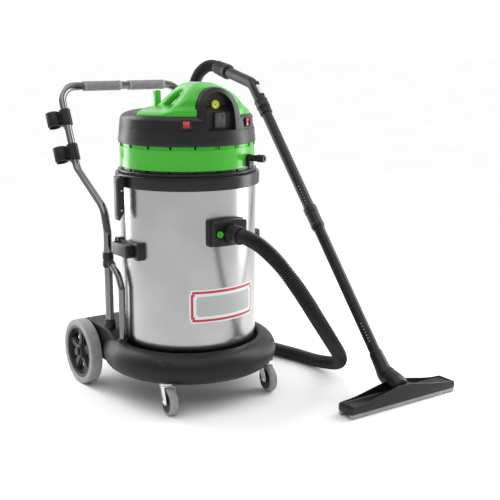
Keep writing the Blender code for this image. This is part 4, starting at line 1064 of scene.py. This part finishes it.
def housing():
    inner = [(0.1970, 0.7577), (0.1895, 0.8255), (0.158, 0.8400), (0, 0.8490)]
    shell = lathe("housing", housing_outside() + inner, 240, shift=strip_recess)
    panel = slab("panel", arch(0.069, 0.788, 0.917, 48), 0.120, 0.21, FORWARD, smooth=25)
    combined(panel, lathe("front", front_revolve(), 160), "INTERSECT")
    remeshed(panel, 0.0014, 3, 0.5)
    combined(shell, slab("panel_room", arch(0.060, 0.798, 0.910), 0.125, 0.25, FORWARD))
    recess = slab("panel_recess", arch(0.046, 0.800, 0.904), RECESS_FLOOR, 0.25, FORWARD)
    # Beside the socket the recess's floor steps forward, and leans back up to the gauge.
    depth = [(-0.1725, 0.790), (-0.1725, 0.846), (-RECESS_FLOOR, 0.866), (-RECESS_FLOOR, 0.915),
             (-0.26, 0.915), (-0.26, 0.790)]
    combined(recess, slab("depth", depth, -0.06, 0.06, SIDEWAYS), "INTERSECT")
    combined(recess, block("socket_block", (-0.0185, -SOCKET_FACE, 0.790), (0.0185, -0.140, 0.850), 0.0015))
    combined(panel, recess)
    for piece in (shell, panel):
        for cutter in opening_cutters():
            combined(piece, cutter)
    joined(shell, panel)
    shown(shell, SHELL_BLACK, HEAD, "head_black", "head_housing")
    floor = block("socket_floor", (-0.0155, -0.1560, 0.8080), (0.0155, -0.1520, 0.8410), 0.001)
    shown(floor, TRIM_BLACK, HEAD, "head_black")
    post = eased([(-0.0105, 0.845, 0.001), (0.0105, 0.845, 0.001), (0.0090, 0.8975, 0.005),
                  (-0.0090, 0.8975, 0.005)],
                 closed=True, steps=6)
    hook = slab("cable_post", post, -0.1835, -0.1665, FORWARD, bevel=0.0018, segments=3)
    shown(hook, GREEN, HEAD, "head_green")


def switches():
    for name, s in SIDES:
        place = about_z(s * SWITCH_TURN)
        bezel = block("bezel_" + name, (-0.0155, -0.1985, SWITCH_Z - 0.0128),
                      (0.0155, -0.1870, SWITCH_Z + 0.0128), 0.0014, 3, place)
        hole = block("hole", (-0.0108, -0.22, SWITCH_Z - 0.0108), (0.0108, -0.15, SWITCH_Z + 0.0108),
                     place=place)
        combined(bezel, hole)
        shown(bezel, BAND_BLACK, HEAD, "head_black")
        side = eased([(-0.1982, SWITCH_Z + 0.0097, 0.001), (-0.1950, SWITCH_Z, 0.004),
                      (-0.1970, SWITCH_Z - 0.0097, 0.001), (-0.1850, SWITCH_Z - 0.0080),
                      (-0.1850, SWITCH_Z + 0.0080)], closed=True)
        rocker = slab("rocker_" + name, side, -0.0098, 0.0098, place @ SIDEWAYS, bevel=0.0007)
        shown(rocker, RED, "switch_" + name, "switch_red", "switch_rocker_" + name)


def socket_and_gauge():
    y0, y1 = 0.1772, 0.1806
    outline = eased([(-0.0172, 0.8062, 0.005), (0.0172, 0.8062, 0.005), (0.0172, 0.8455, 0.0030),
                     (-0.0172, 0.8455, 0.0030)],
                    closed=True, steps=6)
    lid = slab("socket_lid", outline, y0, y1, FORWARD, bevel=0.0010)
    dent = Matrix.Translation((0.0045, 0, 0.8372)) @ FORWARD
    dish = eased([(0, y1 - 0.0016), (0.0030, y1 - 0.0012, 0.002), (0.0058, y1 + 0.0004),
                  (0.0058, y1 + 0.01), (0, y1 + 0.01)])
    combined(lid, lathe("dish", dish, 32, dent))
    pin = Matrix.Translation((0, -0.1792, 0.8455)) @ ALONG_X
    barrel = eased([(0, -0.0150), (0.0017, -0.0150, 0.0004), (0.0017, 0.0150, 0.0004), (0, 0.0150)])
    joined(lid, lathe("barrel", barrel, 20, pin))
    shown(lid, FLAP_GREY, "flap", "flap_grey", "socket_flap")
    stud = eased([(0, y1 - 0.0006), (0.0026, y1 - 0.0008, 0.001), (0.0028, y1 - 0.0030)])
    shown(lathe("lid_stud", stud, 24, dent), GASKET_BLACK, "flap", "flap_grey")
    gauge = Matrix.Translation((0, SOCKET_FACE - RECESS_FLOOR, GAUGE_Z)) @ FORWARD
    rim = eased([(0.0108, 0.1640), (0.0108, 0.1772), (0.0124, 0.1772), (0.0125, 0.1812, 0.001),
                 (0.0112, 0.1830, 0.001), (0.0092, 0.1822, 0.001), (0.0086, 0.1800), (0.0086, 0.1640)])
    shown(lathe("gauge_rim", rim, 56, gauge, closed=True), YELLOW, HEAD, "gauge_yellow", "suction_gauge")
    face = lathe("gauge_face", [(0, 0.1795), (0.0087, 0.1795), (0.0087, 0.1760), (0, 0.1760)], 40, gauge)
    shown(face, YELLOW, HEAD, "gauge_yellow")
    marks = []
    for i in range(9):
        a = math.radians(-120 + 30 * i)
        turn = gauge @ about_z(a)
        marks.append(block("mark", (-0.0003, 0.0064, 0.1794), (0.0003, 0.0080, 0.1797), place=turn))
    needle = block("needle", (-0.0005, -0.0018, 0.1796), (0.0005, 0.0062, 0.1800), 0.0001, 1,
                   gauge @ about_z(0.75))
    stud = lathe("stud", [(0, 0.1803), (0.0013, 0.1802), (0.0015, 0.1794)], 20, gauge)
    joined(needle, stud, *marks)
    needle.name = "gauge_needle"
    shown(needle, TRIM_BLACK, HEAD, "head_black")


def dome_height(r):
    """Top of the housing at this radius."""
    for (r0, z0), (r1, z1) in zip(DOME, DOME[1:]):
        if r <= r1:
            return z0 + (z1 - z0) * (r - r0) / (r1 - r0)
    return DOME[-1][1]


def cover_reach(y):
    if y <= -0.030:
        return math.sqrt(max(0.0, 0.1835 ** 2 - y * y))
    return 0.181 - 0.159 * (y + 0.030) / 0.188


def cover_height(x, y):
    """Top of the green cover: a skin on the housing, and a bell-shaped saddle along its middle."""
    skin = dome_height(math.hypot(x, y)) + 0.0040
    ridge = max(skin, 0.929 - 0.80 * max(0.0, y + 0.02) - 0.30 * max(0.0, -0.10 - y))
    spread = 0.098 - 0.082 * min(1.0, max(0.0, (y + 0.120) / 0.120))
    return skin + (ridge - skin) * math.exp(-(abs(x) / spread) ** 3)


def cover():
    bm = bmesh.new()
    columns, count = 61, 56
    rows = []
    for j in range(count + 1):
        y = -0.172 + 0.330 * j / count
        reach = cover_reach(y)
        xs = [reach * math.sin(math.pi / 2 * (2 * i / (columns - 1) - 1)) for i in range(columns)]
        rows.append([bm.verts.new((x, y, cover_height(x, y))) for x in xs])
    low = [[bm.verts.new((v.co.x, v.co.y, 0.8335)) for v in row] for row in rows]
    for level, flip in ((rows, False), (low, True)):
        for a, b in zip(level, level[1:]):
            for i in range(columns - 1):
                quad = (a[i], a[i + 1], b[i + 1], b[i])
                bm.faces.new(quad[::-1] if flip else quad)

    def rim(grid):
        return grid[0] + [r[-1] for r in grid[1:]] + grid[-1][-2::-1] + [r[0] for r in grid[-2:0:-1]]

    top, bottom = rim(rows), rim(low)
    for i in range(len(top)):
        j = (i + 1) % len(top)
        bm.faces.new((top[j], top[i], bottom[i], bottom[j]))
    shell = obj_from("cover", bm)
    route = [(0, -0.060, 0.911), (0, -0.015, 0.912), (0, 0.0255, 0.9055), (0, 0.0785, 0.882),
             (0, 0.1150, 0.863), (0, 0.150, 0.848)]
    bar = swept("carry_bar", smooth_route(route, 40), 0.0135, 32)
    combined(shell, bar, "UNION")
    lean = ring_profile([(0.125, 0.950), (0.130, 0.935), (0.142, 0.917), (0.150, 0.905), (0.165, 0.885),
                         (0.172, 0.862), (0.188, 0.851), (0.190, 0.820)], 24)
    combined(shell, lathe("lean", [(0, 0.950)] + lean + [(0, 0.820)], 160), "INTERSECT")
    remeshed(shell, 0.0018, 3, 0.45)
    combined(shell, slab("clearance", arch(0.0696, 0.780, 0.9176, 48), 0.1190, 0.23, FORWARD))
    combined(shell, lathe("under", housing_outside(0.0004, False) + [(0, 0.7577)], 160))
    hole = Matrix.Translation((-0.040, 0.130, 0))
    combined(shell, lathe("hole", [(0, 0.83), (0.0040, 0.83), (0.0040, 0.90), (0, 0.90)], 24, hole))
    shown(shell, GREEN, HEAD, "head_green", "top_cover")


def gland():
    place = about_z(math.radians(29))
    outward = place @ Matrix.Translation((0, 0, 0.716)) @ FORWARD
    foot = eased([(-0.0105, 0.6915, 0.002), (0.0105, 0.6915, 0.002), (0.0105, 0.7200, 0.010),
                  (0.0, 0.7300, 0.008), (-0.0105, 0.7200, 0.010)], closed=True, steps=6)
    body = slab("lead_gland", foot, 0.1987, 0.2112, place @ FORWARD, bevel=0.0018)
    pipe = [(0.0048, 0.2090), (0.0095, 0.2090), (0.0095, 0.2200, 0.001), (0.0088, 0.2210, 0.001),
            (0.0088, 0.2300, 0.001)]
    for i in range(4):
        z = 0.2310 + 0.0052 * i
        pipe += [(0.0110, z, 0.0006), (0.0110, z + 0.0030, 0.0006), (0.0098, z + 0.0036),
                 (0.0098, z + 0.0050)]
    pipe += [(0.0100, 0.2530, 0.0006), (0.0048, 0.2530)]
    tube = lathe("pipe", eased(pipe), 48, outward, closed=True)
    joined(body, tube)
    shown(body, BAND_BLACK, HEAD, "trim_black", "cable_gland")


def cartridge():
    """The pleated filter, with a ring at each end."""
    pleats = 64
    turn = [TURN * i / (pleats * 4) for i in range(pleats * 4)]

    def pleat(angle, r, _):
        wave = abs(((angle * pleats / TURN) % 1.0) * 2 - 1)
        return r - 0.010 * wave if r > 0.12 else r + 0.008 * wave

    top = 0.6730
    body = lathe("filter_pleats", [(0.096, 0.582), (0.156, 0.582), (0.156, top - 0.008),
                                   (0.096, top - 0.008)],
                 place=None, closed=True, smooth=20, angles=turn, shift=pleat)
    shown(body, FILTER_PAPER, HEAD, "filter_paper", "filter_cartridge")
    ends = []
    for low, high in ((0.575, 0.584), (top - 0.010, top - 0.0004)):
        ring = eased([(0.094, low), (0.158, low, 0.002), (0.160, low + 0.002, 0.001),
                      (0.160, high - 0.002, 0.001), (0.158, high, 0.002), (0.094, high)])
        ends.append(lathe("filter_end", ring, 96, closed=True))
    joined(ends[0], ends[1])
    shown(ends[0], TRIM_BLACK, HEAD, "filter_paper")


flange()
cooling_ring()
housing()
switches()
socket_and_gauge()
cover()
gland()
cartridge()


# ---- wand ----

def on_wand(distance, tilt=WAND_TILT):
    """A point this far up the wand from the neck's corner, or along the neck with its tilt."""
    y = ELBOW[0] + distance * math.sin(tilt)
    z = ELBOW[1] + distance * math.cos(tilt)
    return Vector((WAND_X, y, z))


UP_WAND = aligned(on_wand(0), on_wand(1))
ALONG_NECK = aligned(on_wand(0), on_wand(1, NECK_TILT))


def wand():
    r = 0.0172
    socket = r + 0.0003
    b = 0.5665
    lower = eased([
        (0.0157, 0.0364), (r - 0.0006, 0.0364), (r, 0.0372), (r, b - 0.0660),
        (r + 0.0032, b - 0.0560, 0.004), (r + 0.0045, b - 0.0520, 0.001), (r + 0.0045, b - 0.0440, 0.001),
        (r + 0.0034, b - 0.0420, 0.001), (r + 0.0034, b - 0.0040, 0.001), (r + 0.0045, b - 0.0020, 0.001),
        (r + 0.0045, b + 0.0160, 0.002), (socket + 0.0028, b + 0.0200, 0.001), (socket, b + 0.0200),
        (socket, 0.5060), (0.0157, 0.5060),
    ])
    tube = lathe("lower_pipe", lower, 64, UP_WAND, closed=True)
    shown(tube, WAND_BLACK, "wand", "trim_black", "wand_lower_tube")
    upper = [(0.0157, 0.5068), (r, 0.5068), (r, 1.0262), (0.0157, 1.0262)]
    tube = lathe("upper_pipe", upper, 64, UP_WAND, closed=True)
    shown(tube, WAND_BLACK, "wand", "trim_black", "wand_upper_tube")
    marked_side = UP_WAND.to_3x3().inverted() @ Vector((-0.75, -0.55, 0.25))
    spin = math.atan2(marked_side.y, marked_side.x)
    dots = []
    for start, end in ((0.5950, 0.6600), (0.1050, 0.1650)):
        for i in range(7):
            along = start + (end - start) * i / 6
            turn = UP_WAND @ Matrix.Translation((0, 0, along)) @ about_z(spin) @ sideways(1)
            dots.append(lathe("dot", [(0, r + 0.0007), (0.0011, r + 0.0006), (0.0016, r - 0.0003)], 14,
                              turn))
    joined(dots[0], *dots[1:])
    dots[0].name = "pipe_dots"
    shown(dots[0], SLIDE_GREY, "wand", "slide_grey")


def handle():
    bend = on_wand(1.0815)
    end = Vector((WAND_X, 0.4170, 0.9400))
    path = bent([on_wand(1.0100), bend, end], 0.060, 24)
    even = [path[0]]
    for point in path[1:]:
        gap = (point - even[-1]).length
        for _ in range(int(gap / 0.004)):
            even.append(even[-1] + (point - even[-1]).normalized() * 0.004 if gap > 0.004 else point)
        even.append(point)
    grip = swept("wand_handle", even, 0.0190, 36)
    collar = eased([
        (0.0176, 0.9548), (0.0208, 0.9548, 0.001), (0.0212, 0.9560, 0.001), (0.0212, 0.9785),
        (0.0230, 0.9815, 0.001), (0.0230, 0.9850, 0.001), (0.0222, 0.9865, 0.001), (0.0222, 1.0040, 0.001),
        (0.0230, 1.0055, 0.001), (0.0230, 1.0085, 0.002), (0.0205, 1.0145, 0.002), (0.0176, 1.0150),
    ])
    ring = lathe("collar", collar, 64, UP_WAND, closed=True)
    thumb = aligned(on_wand(1.0185), on_wand(1.5))
    seat = block("seat", (-0.0090, 0.0165, 0.0), (0.0090, 0.05, 0.060), 0.001, place=thumb)
    combined(grip, seat)
    rails = []
    for side in (-1, 1):
        x = sorted((side * 0.0092, side * 0.0115))
        rails.append(block("rail", (x[0], 0.0120, -0.0015), (x[1], 0.0185, 0.0615), 0.0008, place=thumb))
    joined(grip, ring, *rails)
    shown(grip, WAND_BLACK, "wand", "trim_black", "wand_grip")
    slide = block("air_slide", (-0.0080, 0.0172, 0.008), (0.0080, 0.0232, 0.042), 0.0022, 3, thumb)
    ridges = [block("ridge", (-0.0062, 0.0225, 0.014 + 0.0045 * i), (0.0062, 0.0240, 0.0155 + 0.0045 * i),
                    0.0005, place=thumb) for i in range(5)]
    joined(slide, *ridges)
    shown(slide, SLIDE_GREY, "airflow_control", "slide_grey", "airflow_slide")
    catch = eased([(0.0180, 0.9600, 0.003), (0.0245, 0.9640, 0.003), (0.0262, 0.9800, 0.004),
                   (0.0225, 0.9900, 0.003), (0.0180, 0.9900, 0.002)], closed=True)
    turn = UP_WAND @ Matrix.Rotation(math.pi / 2, 4, "Z") @ Matrix.Rotation(math.pi / 2, 4, "X")
    button = slab("wand_catch", catch, -0.0060, 0.0060, turn, bevel=0.0012)
    shown(button, GASKET_BLACK, "wand", "trim_black")
    start = end + (end - bend).normalized() * 0.0003
    cuff = [(0.0, 0.0), (0.0235, 0.0, 0.001), (0.0262, 0.0040, 0.001), (0.0262, 0.0200, 0.001)]
    for i in range(6):
        z = 0.0230 + 0.0075 * i
        out = 0.0258 - 0.0004 * i
        cuff += [(out - 0.0012, z), (out, z + 0.0012, 0.0005), (out, z + 0.0052, 0.0005),
                 (out - 0.0012, z + 0.0064)]
    cuff += [(0.0236, 0.0710), (0.0240, 0.0730, 0.001), (0.0222, 0.0778, 0.001), (0.0, 0.0780)]
    obj = lathe("wand_cuff", eased(cuff), 72, aligned(start, start + end - bend))
    shown(obj, TRIM_BLACK, "wand", "trim_black", "hose_cuff_wand")


def elbow():
    socket = eased([
        (0.0176, 0.0360), (0.0176, 0.0722), (0.0190, 0.0722, 0.0008), (0.0203, 0.0695, 0.001),
        (0.0206, 0.0600, 0.002), (0.0225, 0.0200, 0.01), (0.0255, 0.0, 0.006), (0.0200, -0.0130, 0.006),
        (0, -0.0130),
    ])
    body = lathe("elbow", list(socket) + [(0, 0.0360)], 64, UP_WAND)
    foot = eased([(0, 0.0130), (0.0200, 0.0120, 0.006), (0.0262, 0.0020, 0.006), (0.0275, -0.0060, 0.003),
                  (0.0275, -0.0166), (0, -0.0166)])
    combined(body, lathe("elbow_foot", foot, 64, ALONG_NECK), "UNION")
    combined(body, lathe("face", [(0, -0.09), (0.06, -0.09), (0.06, -0.0143), (0, -0.0143)], 64,
                         ALONG_NECK))
    shown(body, WAND_BLACK, "wand", "trim_black", "nozzle_elbow")


def nozzle():
    x, half = WAND_X, 0.205
    front, back = -0.508, -0.448
    low, end_top, peak, peak_half = 0.0130, 0.0360, 0.0630, 0.027
    roof = eased([
        (-half, low, 0.004), (half, low, 0.004), (half, end_top, 0.010),
        (half - 0.055, end_top + 0.0030, 0.05), (peak_half + 0.010, peak - 0.002, 0.02),
        (peak_half, peak, 0.01), (-peak_half, peak, 0.01), (-peak_half - 0.010, peak - 0.002, 0.02),
        (-half + 0.055, end_top + 0.0030, 0.05), (-half, end_top, 0.010),
    ], closed=True, steps=8)
    place = Matrix.Translation((x, 0, 0)) @ FORWARD
    body = slab("nozzle_shell", roof, -back, -front, place, bevel=0.0030, segments=4)
    wall = 0.0042
    for _, s in SIDES:
        a, b = sorted((x + s * 0.0265, x + s * (half - 0.010)))
        room = block("trench", (a, front + wall, end_top - 0.0040), (b, back - wall, 0.1), 0.004, 3)
        combined(body, room)
    neck = eased([
        (0, -0.0149), (0.0262, -0.0149), (0.0275, -0.0160, 0.001), (0.0275, -0.0205, 0.001),
        (0.0266, -0.0215, 0.0008), (0.0280, -0.0230, 0.001), (0.0300, -0.0550, 0.01),
        (0.0260, -0.0750, 0.006), (0, -0.0750),
    ])
    cone = lathe("neck", neck, 72, ALONG_NECK)
    combined(cone, block("above", (x - 0.1, front + 0.001, low + 0.002), (x + 0.1, 0, 0.2)), "INTERSECT")
    mouth = ((x - half + 0.008, front + 0.014, -0.01), (x + half - 0.008, back - 0.014, 0.030))
    combined(body, cone, "UNION")
    combined(body, block("mouth", *mouth, 0.003))
    soften(body, 35)
    shown(body, WAND_BLACK, "chassis", "trim_black", "nozzle_body")
    for name, a in (("front", front + 0.002), ("rear", back - 0.012)):
        strip = block("sole_" + name, (x - half + 0.001, a, 0.0028),
                      (x + half - 0.001, a + 0.010, low - 0.0003), 0.0006)
        lamellae = []
        count = 58
        step = (2 * half - 0.004) / count
        for i in range(count):
            at = x - half + 0.002 + step * i
            lamellae.append(block("lamella", (at, a, 0.0), (at + step * 0.72, a + 0.010, 0.0040), 0.0004,
                                  1))
        joined(strip, *lamellae)
        shown(strip, STRIP_GREY, "chassis", "strip_grey", "nozzle_strip_" + name)


wand()
handle()
elbow()
nozzle()


# ---- what stays as the CAD made it ----

def finished(node, material):
    """A CAD node that keeps its shape, with a better material."""
    obj = NODES[node]
    obj.data.materials.clear()
    obj.data.materials.append(material)


finished("rear_axle", HUB_GREY)
finished("inlet_deflector", TRIM_BLACK)
finished("filter_cage", TRIM_BLACK)
finished("float_valve", FLOAT_RED)
for NAME, SIGN in SIDES:
    finished("suction_motor_" + NAME, ALUMINIUM)
    finished("caster_stem_" + NAME, ZINC)


# ---- floor and light ----

def floor():
    bm = bmesh.new()
    bmesh.ops.create_grid(bm, x_segments=8, y_segments=8, size=60.0)
    mesh = bpy.data.meshes.new("floor")
    bm.to_mesh(mesh)
    bm.free()
    obj = bpy.data.objects.new("floor", mesh)
    obj.location = (0, 0, -0.0005)
    bpy.context.scene.collection.objects.link(obj)
    made = Nodes("studio_floor")
    faint = made.mixed(made.ranged(made.noise(1.5, 2.0), 0, 1), (0.93, 0.93, 0.93), (0.95, 0.95, 0.95))
    made.link(faint, made.shader.inputs["Base Color"])
    made.shader.inputs["Roughness"].default_value = 0.9
    mesh.materials.append(made.material)


def area_light(name, place, target, size, power):
    data = bpy.data.lights.new(name, "AREA")
    data.shape = "RECTANGLE"
    data.size, data.size_y = size
    data.energy = power
    obj = bpy.data.objects.new(name, data)
    obj.location = place
    obj.rotation_euler = (Vector(target) - Vector(place)).to_track_quat("-Z", "Y").to_euler()
    obj.visible_camera = False
    bpy.context.scene.collection.objects.link(obj)


def studio():
    """A white room, darker on the side of the camera, and two soft boxes."""
    world = bpy.data.worlds.new("studio")
    bpy.context.scene.world = world
    world.use_nodes = True
    tree = world.node_tree
    where = tree.nodes.new("ShaderNodeTexCoord")
    toward = tree.nodes.new("ShaderNodeVectorMath")
    toward.operation = "DOT_PRODUCT"
    toward.inputs[1].default_value = (-0.5705, -0.8213, 0.0)
    tree.links.new(where.outputs["Generated"], toward.inputs[0])
    ramp = tree.nodes.new("ShaderNodeValToRGB")
    place = tree.nodes.new("ShaderNodeMapRange")
    place.inputs["From Min"].default_value = -1.0
    place.inputs["From Max"].default_value = 1.0
    tree.links.new(toward.outputs["Value"], place.inputs["Value"])
    tree.links.new(place.outputs["Result"], ramp.inputs["Fac"])
    stops = ramp.color_ramp.elements
    stops[0].position = 0.30
    stops[0].color = (1.0, 1.0, 1.0, 1.0)
    stops[1].position = 1.0
    stops[1].color = (0.36, 0.36, 0.36, 1.0)
    middle_stop = stops.new(0.62)
    middle_stop.color = (0.55, 0.55, 0.55, 1.0)
    tree.links.new(ramp.outputs["Color"], tree.nodes["Background"].inputs["Color"])
    tree.nodes["Background"].inputs["Strength"].default_value = 1.0
    sun = bpy.data.objects.new("sky", bpy.data.lights.new("sky", "SUN"))
    sun.data.energy = 1.1
    sun.data.angle = math.radians(70)
    sun.rotation_euler = (math.radians(18), math.radians(-14), 0)
    bpy.context.scene.collection.objects.link(sun)
    area_light("left_strip", (-0.84, 1.42, 1.05), (-0.175, 0, 0.55), (0.75, 2.0), 22)
    area_light("right_strip", (1.42, -0.54, 1.05), (-0.175, 0, 0.55), (0.80, 2.0), 24)


floor()
studio()
bpy.context.scene.view_settings.view_transform = "Standard"
